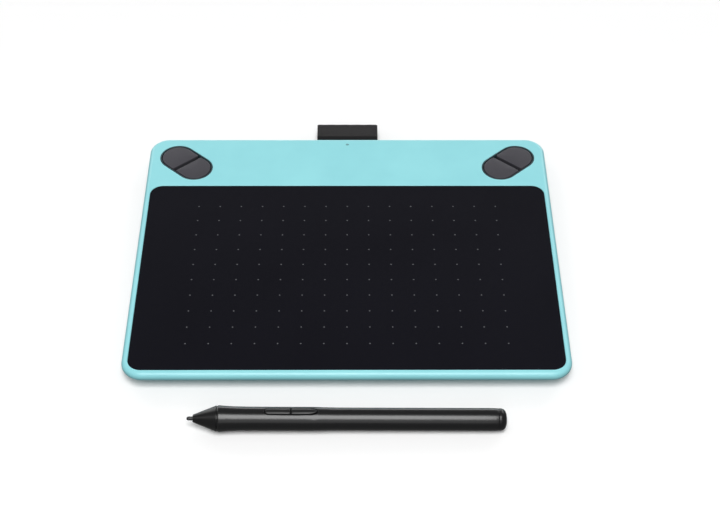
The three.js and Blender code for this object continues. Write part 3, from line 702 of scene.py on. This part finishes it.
def top_shell():
    """The deck and its edge band, with places for the sheet, pods, light window, USB inlet and loop."""
    skin = Skin()
    lower = [(inset, PARTING + drop) for inset, drop in reversed(quarter_round(EDGE_ROUND, 10))]
    upper = [(inset, CASE_TOP - drop) for inset, drop in quarter_round(EDGE_ROUND, 12)]
    inside = [(2.0, DECK_UNDERSIDE), (2.0, PARTING + 1), (4.0, PARTING + 1), (4.0, PARTING)]
    deck_ring, top_ring = skin.sweep(case_outline, inside + lower + upper)

    top_holes = [pocket(skin, sheet_outline, CASE_TOP, CASE_TOP - SHEET_RECESS, 0.3)]
    strip_holes = []
    openings = [
        (lambda margin: pod_outline(LEFT, POD_RADIUS + margin), 0.2),
        (lambda margin: pod_outline(RIGHT, POD_RADIUS + margin), 0.2),
        (lambda margin: light_outline(LIGHT_RADIUS + LIGHT_GAP + margin), 0.15),
    ]
    for outline, fillet in openings:
        upper_edge, lower_edge = hole(skin, outline, CASE_TOP, STRIP_UNDERSIDE, fillet)
        top_holes.append(upper_edge)
        strip_holes.append(lower_edge)
    skin.fill(top_ring, top_holes)

    # Behind the sheet's recess the deck is hollowed from below to the same wall thickness.
    x0, x1 = TOP_LOW.x + STRIP_WALL, TOP_HIGH.x - STRIP_WALL
    y0, y1 = SHEET_HIGH.y + 1.5, TOP_HIGH.y - STRIP_WALL
    strip = rounded_rectangle(x0, x1, y0, y1, CASE_RADIUS - STRIP_WALL)
    strip_bottom = skin.ring(strip, DECK_UNDERSIDE)
    strip_top = skin.ring(strip, STRIP_UNDERSIDE)
    skin.bridge(strip_bottom, strip_top)
    skin.fill(strip_top, strip_holes)
    skin.fill(deck_ring, [strip_bottom])

    piece = skin.make("upper_shell")
    cut(piece, usb_cutter())
    cut(piece, loop_slot_cutter())
    set_shell(piece, "top_case")


# Accessory bay in the underside, with the cover that closes it.
BAY_LOW, BAY_HIGH = box_mm("accessory_cover")
COVER_FRONT = BAY_LOW.y + 2.5
COVER_REAR = BAY_HIGH.y
COVER_SIDE = BAY_HIGH.x
COVER_TOP = BASE + 1.2
BAY_SIDE = COVER_SIDE + FIT_GAP
BAY_REAR = COVER_REAR + FIT_GAP
BAY_FRONT = COVER_FRONT - FIT_GAP
BAY_ROOF = 6.7
BAY_WALL = 0.7
HOOK_X = 30
HOOK_HALF = 5.5


def bay_outline(margin):
    side, radius = BAY_SIDE + margin, 0.8 + margin
    return rounded_rectangle(-side, side, BAY_FRONT - margin, BAY_REAR + margin, radius, 5)


def foot_outline(node, margin):
    length, radius = SOLE_SIZE
    centre = middle(node)
    return moved(stadium(length, radius + margin), centre.x, centre.y)


def screw_outline(node, margin):
    centre = middle(node)
    return circle(centre.x, centre.y, SCREW_HOLE_RADIUS + margin)


def bottom_shell():
    """The sloping underside, with recesses for feet and screws and the box of the accessory bay."""
    skin = Skin()
    rim = PARTING - FIT_GAP
    slope = UNDERSIDE_INSET - EDGE_ROUND
    start = EDGE_ROUND + slope * (PARTING - rim) / (PARTING - BASE)
    rim_inside = start + 1.6
    corners = [
        (rim_inside, rim, 0), (start + 0.05, rim, 0), (start, rim - 0.05, 0),
        (UNDERSIDE_INSET, BASE, UNDERSIDE_ROUND), (UNDERSIDE_INSET + 8, BASE, 0),
    ]
    outside = rounded_corners(corners, 8)[:-1]
    floor = BASE + BASE_WALL
    inside = [(UNDERSIDE_INSET + 0.4, floor), (rim_inside, rim - 0.02)]
    floor_ring, under_ring = skin.sweep(case_outline, inside + outside)

    recesses = [(node, foot_outline, FIT_GAP, FOOT_RECESS) for node in FEET]
    recesses += [(node, screw_outline, 0, SCREW_RECESS) for node in SCREWS]
    under_holes = []
    for node, outline, gap, depth in recesses:
        under_holes.append(pocket(skin, lambda margin: outline(node, gap + margin), BASE, BASE + depth))
    under_holes.append(pocket(skin, bay_outline, BASE, BAY_ROOF))
    skin.fill(under_ring, under_holes)
    outer_wall = [skin.ring(bay_outline(BAY_WALL), z) for z in (floor, BAY_ROOF + 0.8)]
    skin.bridge(*outer_wall)
    skin.fill(outer_wall[1])
    skin.fill(floor_ring, [outer_wall[0]])

    piece = skin.make("lower_shell")
    half = HOOK_HALF + FIT_GAP
    for x in (-HOOK_X, HOOK_X):
        window = block_skin(x - half, x + half, BAY_FRONT - 0.9, BAY_FRONT + 1, floor, 4.9)
        cut(piece, window.make("window_cutter"))
    set_shell(piece, "bottom_case")


def nib_rack():
    """The bay's divider, and beside it a block with a groove for each spare nib and one for the ring."""
    ring = middle("nib_removal_ring")
    spare_low = box_mm(SPARES[0])[0]
    rack_face = spare_low.z
    divider_x = spare_low.x - 5
    skin = Skin()
    holes = []
    for node in SPARES:
        low, high = box_mm(node)

        def groove(margin):
            return around(low, high, FIT_GAP + margin, 0.5, 4)

        holes.append(pocket(skin, groove, rack_face, rack_face + 2.1, 0.1))

    ring_floor = rack_face + 1.5

    def ring_groove(margin):
        return circle(ring.x, ring.y, 5.3 + margin)

    upper, lower = hole(skin, ring_groove, rack_face, ring_floor, 0.1)
    post = circle(ring.x, ring.y, 2.9)
    post_top = skin.ring(post, rack_face)
    post_base = skin.ring(post, ring_floor)
    skin.bridge(post_top, post_base)
    skin.fill(post_top)
    skin.fill(lower, [post_base])

    outline = rounded_rectangle(divider_x, BAY_SIDE, spare_low.y - 1.6, ring.y + 7.5, 0.4, 4)
    face = skin.ring(outline, rack_face)
    back = skin.ring(outline, BAY_ROOF)
    skin.fill(face, [*holes, upper])
    skin.bridge(face, back)
    skin.fill(back)
    set_shell(skin.make("nib_rack"), "bottom_case")

    floor = BASE + BASE_WALL
    divider = block_skin(divider_x, divider_x + 1.2, BAY_FRONT, BAY_REAR, floor, BAY_ROOF, 0.15)
    set_shell(divider.make("bay_divider"), "bottom_case")


def accessory_cover():
    """The bay's cover, with a finger groove, two hooks in front and a latch behind."""

    def outline(inset):
        side = COVER_SIDE - inset
        return rounded_rectangle(-side, side, COVER_FRONT + inset, COVER_REAR - inset, 0.8 - inset, 5)

    def finger_groove(margin):
        return moved(stadium(15, 1.3 + margin), 0, COVER_REAR - 3)

    skin = Skin()
    upper, lower = skin.sweep(outline, block_profile(COVER_TOP, BASE, 0.15, 0.25, 3))
    skin.fill(lower, [pocket(skin, finger_groove, BASE, BASE + 0.55, 0.2)])
    skin.fill(upper)
    set_shell(skin.make("bay_cover"), "accessory_cover", "cover")

    root = COVER_TOP - 0.1
    front = COVER_FRONT
    hook_outline = rounded_corners([
        (front + 0.6, root, 0), (front + 1.2, root, 0), (front + 1.2, 3.6, 0.3), (front - 2.5, 3.6, 0.4),
        (front - 2.5, 2.6, 0.3), (front, 2.6, 0.2), (front, root, 0),
    ], 4)
    for label, x in (("left", -HOOK_X), ("right", HOOK_X)):
        hook = Skin()
        hook.tube([[(end, y, z) for y, z in hook_outline] for end in (x - HOOK_HALF, x + HOOK_HALF)])
        set_shell(hook.make(f"cover_hook_{label}"), "accessory_cover", "cover")
    latch = block_skin(-6, 6, COVER_REAR - 1.2, COVER_REAR, root, 3.9)
    set_shell(latch.make("cover_latch"), "accessory_cover", "cover")


def feet():
    for node in FEET:
        low, high = box_mm(node)
        skin = Skin()
        skin.block(lambda inset: foot_outline(node, -inset), block_profile(low.z, high.z, 0.35, 0.1, 5))
        set_piece(skin.make(f"rubber_{node}"), RUBBER, node)


def screws():
    """Case screws, built along X with the head at 0 and turned to point up into the case."""
    profile = rounded_corners([
        (0, 0, 0), (0, 1.9, 0.35), (1.2, 1.9, 0.1), (1.2, 0.8, 0), (5.2, 0.8, 0), (5.5, 0.5, 0),
        (5.5, 0, 0),
    ], 5)
    long, short = 1.15, 0.3
    for node in SCREWS:
        x, y, _ = middle(node)
        z = box_mm(node)[0].z
        place = Matrix.Translation(Vector((x, y, z)) * MM) @ Matrix.Rotation(-QUARTER, 4, "Y")
        screw = turned(profile, 40).make(f"steel_{node}", place)
        for a, b in ((long, short), (short, long)):
            slot = block_skin(x - a, x + a, y - b, y + b, z - 1, z + 0.6, 0.1)
            cut(screw, slot.make("slot_cutter"))
        set_piece(screw, STEEL, node)


# ---- drawing sheet


def sheet_and_dots():
    """The drawing film, and its printed dots as very thin discs in its face."""
    top = SHEET_HIGH.z
    skin = Skin()
    profile = block_profile(SHEET_LOW.z, top, 0.05, 0.12, 4)
    skin.block(lambda inset: sheet_outline(-FIT_GAP / 2 - inset), profile)
    set_piece(skin.make("drawing_sheet"), SHEET, "drawing_surface")

    dots = Skin()
    centre = middle("drawing_surface")
    for row in range(DOT_ROWS):
        for column in range(DOT_COLUMNS):
            x = centre.x + (column - (DOT_COLUMNS - 1) / 2) * DOT_PITCH_X
            y = centre.y + DOTS_BEHIND_MIDDLE + (row - (DOT_ROWS - 1) / 2) * DOT_PITCH_Y
            spot = circle(x, y, DOT_RADIUS, 12)
            dots.tube([[(px, py, z) for px, py in spot] for z in (top - 0.02, top + 0.012)])
    set_piece(dots.make("printed_dots"), INK, "drawing_surface")


# ---- keys


def level_outline(distance, centre, level, steps=160):
    """Points all round the centre where the distance function comes to the level, found by halving."""
    points = []
    for i in range(steps):
        angle = 2 * pi * i / steps
        c, s = cos(angle), sin(angle)
        near, far = 0.0, 40.0
        for _ in range(40):
            half = (near + far) / 2
            if distance(centre[0] + half * c, centre[1] + half * s) < level:
                near = half
            else:
                far = half
        points.append((centre[0] + near * c, centre[1] + near * s))
    return points


def rounded_maximum(a, b, radius):
    """The larger of two distances, with the corner where they meet rounded off."""
    if a > -radius and b > -radius:
        return hypot(a + radius, b + radius) - radius
    return max(a, b)


def key_distance(side, end):
    """Signed distance to one key's outline in the pod's own axes."""
    tilt = side * KEY_SPLIT_TILT
    across = (end * cos(tilt), end * sin(tilt))

    def distance(x, y):
        beyond = max(abs(x) - POD_LENGTH / 2, 0)
        round_end = hypot(beyond, y) - KEY_RADIUS
        split = KEY_SPLIT_HALF - ((x - KEY_SPLIT_OFFSET) * across[0] + y * across[1])
        return rounded_maximum(round_end, split, KEY_SPLIT_ROUND)

    return distance


def express_key(side, end):
    """A key cap on one side of its pod's split, with a rounded edge and a low crown."""
    name = f"{side_label(side)}_{'outer' if end == OUTER else 'inner'}"
    node = f"express_key_{name}"
    low, high = box_mm(node)
    distance = key_distance(side, end)
    centre = (end * (POD_LENGTH / 2 + 0.6), 0)
    top = high.z - KEY_CROWN
    skin = Skin()
    profile = [(0, low.z + 0.25)]
    profile += [(inset, top - drop) for inset, drop in quarter_round(KEY_EDGE, 6)]
    bottom, edge = skin.sweep(lambda inset: level_outline(distance, centre, -inset), profile)
    skin.faces.append(tuple(bottom))
    skin.crown(edge, centre, lambda share, x, y: top + KEY_CROWN * (1 - share * share), 14)
    x, y, turn = pod_place(side)
    place = Matrix.Translation(Vector((x, y, 0)) * MM) @ Matrix.Rotation(turn, 4, "Z")
    set_piece(skin.make(f"key_cap_{name}", place), KEY, node, f"key_{name}")


def key_bezel(side):
    """The collar round a pair of keys, with a flange under the deck."""
    label = side_label(side)
    node = f"key_bezel_{label}"
    low, high = box_mm(node)
    inner, outer, flange = BEZEL_INNER_RADIUS, POD_RADIUS - 0.08, 10.8
    flange_top = 8.5
    corners = [
        (inner, low.z, 0), (inner, high.z, 0.15), (outer, high.z, 0.15), (outer, flange_top, 0),
        (flange, flange_top, 0), (flange, low.z, 0), (inner, low.z, 0),
    ]
    skin = Skin()
    skin.join([skin.ring(pod_outline(side, radius), z) for radius, z in rounded_corners(corners, 4)])
    set_piece(skin.make(f"key_collar_{label}"), BEZEL, node)


def status_light():
    """The window in the rear strip, and the light guide in front of it."""
    low, high = box_mm("led_light_pipe")
    skin = Skin()
    profile = [(0, low.z + 0.3), (0, high.z - 0.2), (0.06, high.z - 0.06), (0.2, high.z)]
    skin.block(lambda inset: light_outline(LIGHT_RADIUS - inset), profile)
    set_piece(skin.make("status_window"), LENS, "led_light_pipe")
    guide = block_skin(low.x, high.x, low.y, light_place()[1] - 1.2, low.z, low.z + 0.7, 0.1)
    set_piece(guide.make("light_guide"), LENS, "led_light_pipe")


# ---- pen loop


def loop_line():
    """The ribbon's middle line, from the end of its lower ply round the fold to its other end."""
    low, high = box_mm("pen_loop")
    z = (low.z + high.z) / 2
    half = (high.z - low.z) / 2 - RIBBON_THICKNESS / 2
    fold_y = high.y - half - RIBBON_THICKNESS / 2
    neck_y, open_y = low.y + NECK_START, low.y + NECK_END
    lower = [(low.y, z - PLY_OFFSET), (neck_y - 3, z - PLY_OFFSET)]
    steps = 24
    for i in range(steps + 1):
        share = i / steps
        ease = share * share * (3 - 2 * share)
        lower.append((neck_y + (open_y - neck_y) * share, z - PLY_OFFSET - (half - PLY_OFFSET) * ease))
    lower += [(open_y + (fold_y - open_y) * i / 6, z - half) for i in range(1, 6)]
    fold = arc(fold_y, z, half, -QUARTER, QUARTER, 28)
    upper = [(y, 2 * z - zz) for y, zz in reversed(lower)]
    return lower + fold + upper


def pen_loop():
    """The folded ribbon, thinner at its selvages and a little wavy along its length."""
    low, high = box_mm("pen_loop")
    line = loop_line()
    width = high.x - low.x
    across_steps = 40
    shares = [k / across_steps for k in range(across_steps + 1)]
    back_shares = [1 - share for share in shares]
    sections, travelled, total = [], [], 0.0
    for i, (y, z) in enumerate(line):
        before, after = line[max(i - 1, 0)], line[min(i + 1, len(line) - 1)]
        along = Vector((after[0] - before[0], after[1] - before[1])).normalized()
        normal = Vector((-along.y, along.x))
        if i:
            total += hypot(y - line[i - 1][0], z - line[i - 1][1])
        travelled.append(total)
        section = []
        for face, across in ((1, shares), (-1, back_shares)):
            for share in across:
                x = low.x + width * share
                edge = min(share, 1 - share) * width
                thick = RIBBON_THICKNESS / 2 * min(1.0, sqrt(edge / SELVAGE) * 0.75 + 0.25)
                wave = WAVE_HEIGHT * sin(x * 0.9 + total * 0.35) * sin(total * 0.21)
                offset = face * thick + wave
                section.append((x, y + normal.x * offset, z + normal.y * offset))
        sections.append(section)
    skin = Skin()
    skin.tube(sections)
    piece = skin.make("woven_loop")
    weave_uv(piece, line, travelled)
    set_piece(piece, WOVEN, "pen_loop")


def weave_uv(piece, line, travelled):
    """Gives each face corner its place across and along the ribbon, in millimetres."""
    layer = piece.data.uv_layers.new(name="weave")
    near = {}
    for vertex in piece.data.vertices:
        y, z = vertex.co.y / MM, vertex.co.z / MM
        nearest = min(range(len(line)), key=lambda i: (line[i][0] - y) ** 2 + (line[i][1] - z) ** 2)
        near[vertex.index] = (vertex.co.x / MM, travelled[nearest])
    for loop in piece.data.loops:
        layer.data[loop.index].uv = near[loop.vertex_index]


# ---- pen


def pen_place():
    """The pen's own axes: +X from the nib to the end cap, +Z up through its buttons."""
    joints = {joint["name"]: joint for joint in frame["joints"]}
    along = Vector(joints["nib_press"]["axis"])
    up = Vector((-along.z, 0, along.x))
    pivot = Vector(joints["pen_front_button_press"]["pos_m"])
    tip = pivot - along * BUTTONS_SPLIT * MM - up * BUTTON_PIVOT_HEIGHT * MM
    turn = Matrix((along, Vector((0, 1, 0)), up)).transposed()
    return Matrix.Translation(tip) @ turn.to_4x4()


PEN_PLACE = pen_place()


def barrel_radius(x):
    """The barrel's radius, with its front edge chamfered and its rear edge rounded."""
    grip = GRIP_SWELL / (1 + exp((x - GRIP_END) / GRIP_FADE))
    flare = NOSE_FLARE * exp(-((max(x - BARREL_RING, 0) / FLARE_LENGTH) ** 1.2))
    tail = TAIL_DRAW * max((x - TAIL_START) / (BARREL_END - TAIL_START), 0) ** 2
    chamfer = CHAMFER_SLOPE * max(BARREL_RING - x, 0)
    rounded = REAR_EDGE_DRAW * max((x - BARREL_END + REAR_EDGE) / REAR_EDGE, 0) ** 2
    return BARREL_RADIUS + grip + flare - tail - chamfer - rounded


def barrel_stations():
    """Places of the barrel's rings along the pen, closer together where its radius changes most."""
    stations = [CONE_END + FIT_GAP + 0.5 * i / 3 for i in range(3)] + [BARREL_RING - 0.25, BARREL_RING]
    x = BARREL_RING
    while x < BARREL_END - REAR_EDGE:
        x += 0.6 if x < 30 else (0.9 if x < 62 else 2.4)
        stations.append(min(x, BARREL_END - REAR_EDGE))
    return [*stations, BARREL_END - 0.12, BARREL_END]


def buttons_distance(x, y):
    """Signed distance to the outline of the button recess: round in front, more pointed behind."""
    half = BUTTONS_HALF_WIDTH
    if x < BUTTONS_START + half:
        return hypot(x - BUTTONS_START - half, y) - half
    share = (x - BUTTONS_END) / BUTTONS_NOSE + 1
    if share >= 1:
        return hypot(x - BUTTONS_END, y) / 1.5
    if share > 0:
        return (abs(y) - half * sqrt(1 - share ** 2.3)) / (1 + 1.2 * share)
    return abs(y) - half


def recess_points(margin, drop=0.0):
    """The button recess's outline, grown by the margin, laid on the barrel and lowered by the drop."""
    middle_x = (BUTTONS_START + BUTTONS_END) / 2
    outline = level_outline(buttons_distance, (middle_x, 0), margin, 120)
    return [(x, y, sqrt(barrel_radius(x) ** 2 - y * y) - drop) for x, y in outline]


def pen_barrel():
    """The barrel, filled round its button recess while unrolled flat, with a bore in each end."""
    skin = Skin()
    stations = barrel_stations()
    last, steps = len(stations) - 1, BARREL_STEPS
    turns = [-pi + 2 * pi * k / steps for k in range(steps + 1)]
    grid, flat = {}, {}
    for i, x in enumerate(stations):
        r = barrel_radius(x)
        for k, turn in enumerate(turns):
            grid[i, k] = skin.ring3([(x, r * sin(turn), r * cos(turn))])[0]
            flat[grid[i, k]] = (x, turn * UNROLL_RADIUS)
    rings = []
    for margin in (RECESS_EDGE + RECESS_BORDER, RECESS_EDGE):
        points = recess_points(margin)
        ring = skin.ring3(points)
        for index, (x, y, _) in zip(ring, points):
            flat[index] = (x, asin(y / barrel_radius(x)) * UNROLL_RADIUS)
        rings.append(ring)

    left_seam = [grid[i, 0] for i in range(last + 1)]
    rear = [grid[last, k] for k in range(1, steps)]
    right_seam = [grid[i, steps] for i in range(last, -1, -1)]
    front = [grid[0, k] for k in range(steps - 1, 0, -1)]
    border = left_seam + rear + right_seam + front
    on_border = set(border)
    extra = []
    for index in grid.values():
        x, s = flat[index]
        y = UNROLL_RADIUS * sin(s / UNROLL_RADIUS)
        near = abs(s) < 6 and buttons_distance(x, y) < RECESS_EDGE + RECESS_BORDER + 0.3
        if index not in on_border and not near:
            extra.append(index)
    skin.fill(border, [rings[0]], extra, flat)

    for drop, margin in quarter_round(RECESS_EDGE, 5)[1:]:
        rings.append(skin.ring3(recess_points(margin, drop)))
    floor = skin.ring3([(*skin.points[i][:2], RECESS_FLOOR) for i in rings[-1]])
    skin.join([*rings, floor])
    skin.faces.append(tuple(floor))
    for station, inner, depth in ((0, 4.9, 4.5), (last, 4.2, -4.5)):
        rings = [[grid[station, k] for k in range(steps)]]
        for x in (stations[station], stations[station] + depth):
            rings.append(skin.ring3([(x, inner * sin(a), inner * cos(a)) for a in turns[:-1]]))
        skin.join(rings)
        skin.faces.append(tuple(rings[-1]))
    set_piece(skin.make("pen_tube", PEN_PLACE), PEN, "pen_barrel", "pen")


def pen_button(end):
    """One key of the side switch, crowned like the barrel and a little proud of it."""
    label = "front" if end == FRONT else "rear"
    outer_end = BUTTONS_START if end == FRONT else BUTTONS_END
    centre = ((BUTTONS_SPLIT + outer_end) / 2, 0)

    def distance(x, y):
        split = BUTTON_SPLIT_HALF - end * (x - BUTTONS_SPLIT)
        return rounded_maximum(buttons_distance(x, y) + BUTTON_GAP, split, BUTTON_SPLIT_ROUND)

    def height(x, y):
        drop = BUTTON_CROWN - sqrt(BUTTON_CROWN ** 2 - y * y)
        return BUTTON_TOP - drop - 0.003 * (x - centre[0]) ** 2

    skin = Skin()
    rings = [skin.ring(level_outline(distance, centre, 0, 128), BUTTON_FOOT)]
    for inset, drop in quarter_round(BUTTON_EDGE, 6):
        outline = level_outline(distance, centre, -inset, 128)
        rings.append(skin.ring3([(x, y, height(x, y) - drop) for x, y in outline]))
    skin.join(rings)
    skin.faces.append(tuple(rings[0]))
    skin.crown(rings[-1], centre, lambda share, x, y: height(x, y), 8)
    piece = skin.make(f"pen_key_{label}", PEN_PLACE)
    set_piece(piece, PEN_KEY, f"pen_button_{label}", f"pen_switch_{label}_button")


def nib_skin():
    """A nib along X, with its tip at 0."""
    end, radius = NIB_LENGTH, NIB_RADIUS
    corners = [(0, 0, 0), (0, 0.62, 0.42), (0.9, radius, 0.5), (end, radius, 0.15), (end, 0, 0)]
    return turned(rounded_corners(corners, 6), 40)


def pen_ends():
    """Nose cone and end cap, each with a plug that goes into the barrel, and the nib."""
    nib_hole = NIB_RADIUS + FIT_GAP
    plug = 4.6
    cone = turned(rounded_corners([
        (4.5, 0, 0), (4.5, nib_hole, 0), (CONE_START, nib_hole, 0.12), (CONE_START, 1.72, 0.25),
        (CONE_END, 5.95, 0.15), (CONE_END, plug, 0), (17.9, plug, 0.2), (17.9, 0, 0),
    ], 6), 96)
    set_piece(cone.make("pen_cone", PEN_PLACE), CONE, "pen_nose_cone", "pen")

    start, plug, bevel = BARREL_END + 0.08, 3.9, 0.12
    profile = [(start - 4.3, 0), (start - 4.3, plug), (start, plug), (start, CAP_RADIUS - bevel)]
    for turn in [QUARTER * i / 20 for i in range(20)]:
        x = start + bevel + (PEN_LENGTH - start - bevel) * sin(turn) ** CAP_SQUARENESS
        profile.append((x, CAP_RADIUS * cos(turn) ** CAP_SQUARENESS))
    cap = turned([*profile, (PEN_LENGTH, 0)], 96)
    set_piece(cap.make("pen_cap", PEN_PLACE), PEN, "pen_end_cap", "pen")
    set_piece(nib_skin().make("pen_point", PEN_PLACE), NIB, "nib", "pen_nib")


def spare_nibs_and_ring():
    for node in SPARES:
        centre = middle(node)
        place = Matrix.Translation(Vector((box_mm(node)[0].x, centre.y, centre.z)) * MM)
        set_piece(nib_skin().make(f"stored_{node}", place), NIB, node)
    low, high = box_mm("nib_removal_ring")
    x, y, _ = middle("nib_removal_ring")
    inner, outer = 3.2, 5
    corners = [
        (inner, low.z, 0), (inner, high.z, 0.3), (outer, high.z, 0.3), (outer, low.z, 0.3),
        (inner, low.z, 0),
    ]
    skin = Skin()
    skin.join([skin.ring(circle(x, y, radius, 48), z) for radius, z in rounded_corners(corners)])
    set_piece(skin.make("steel_ring"), STEEL, "nib_removal_ring")


# ---- CAD nodes that stay as they are


def dress_nodes():
    kept = {
        BOARD: ["controller_board", "key_board_right", "sensor_board", "pen_board"],
        DARK_PLASTIC: [
            "controller_chip", "battery_connector", "loop_anchor", "pressure_sensor", "pen_chassis",
            "usb_tongue",
        ],
        CABLE: ["board_link_cable", "sensor_flex"],
        ALUMINIUM: ["shield_plate"],
        STEEL: [
            "usb_socket", "dome_switch_left_outer", "dome_switch_left_inner", "dome_switch_right_outer",
            "dome_switch_right_inner", "pen_switch_front", "pen_switch_rear",
        ],
        LENS: ["status_led"],
        FERRITE: ["nib_holder"],
        COPPER: ["pen_coil"],
    }
    for material, nodes in kept.items():
        for node in nodes:
            mesh = frame["nodes"][node].data
            mesh.materials.clear()
            mesh.materials.append(material)


# ---- stage


def camera():
    data = bpy.data.cameras.new("camera")
    data.lens = CAMERA_LENS
    data.sensor_width = SENSOR_WIDTH
    data.clip_start = CLIP_START
    data.clip_end = CLIP_END
    eye = bpy.data.objects.new("camera", data)
    eye.rotation_mode = "ZYX"
    eye.rotation_euler = [radians(a) for a in CAMERA_TURN]
    eye.location = Vector(CAMERA_PLACE) * MM
    SCENE.collection.objects.link(eye)
    SCENE.camera = eye


def soft_light(name, place, size, power, target=(0, 0, 0)):
    data = bpy.data.lights.new(name, "AREA")
    data.shape = "RECTANGLE"
    data.size, data.size_y = size
    data.energy = power
    light = bpy.data.objects.new(name, data)
    light.location = place
    light.rotation_euler = (Vector(target) - Vector(place)).to_track_quat("-Z", "Y").to_euler()
    SCENE.collection.objects.link(light)


def stage():
    skin = Skin()
    half = FLOOR_HALF
    outline = rounded_rectangle(-half, half, -half, half, FLOOR_CORNER)
    skin.faces.append(tuple(skin.ring(outline, FLOOR_LEVEL)))
    floor = skin.make("floor")
    paper = Look("pale_floor", roughness=0.55, specular=0.3)
    paper.colour(paper.noise(3, 2), (250, 250, 250), (253, 253, 253))
    floor.data.materials.append(paper.material)
    # The floor takes shadows, but throws no light back on the undersides: they are dark in the photo.
    floor.visible_diffuse = False
    floor.visible_glossy = False
    world = bpy.data.worlds.new("soft_room")
    world.use_nodes = True
    background = world.node_tree.nodes["Background"]
    background.inputs["Color"].default_value = (1, 1, 1, 1)
    background.inputs["Strength"].default_value = ROOM_LIGHT
    SCENE.world = world
    for light in LIGHTS:
        soft_light(*light)
    SCENE.view_settings.view_transform = "Standard"
    SCENE.view_settings.look = "None"


camera()
stage()
top_shell()
bottom_shell()
nib_rack()
accessory_cover()
feet()
screws()
sheet_and_dots()
for side in (LEFT, RIGHT):
    key_bezel(side)
    for end in (OUTER, INNER):
        express_key(side, end)
status_light()
pen_loop()
pen_barrel()
pen_ends()
for end in (FRONT, REAR):
    pen_button(end)
spare_nibs_and_ring()
dress_nodes()
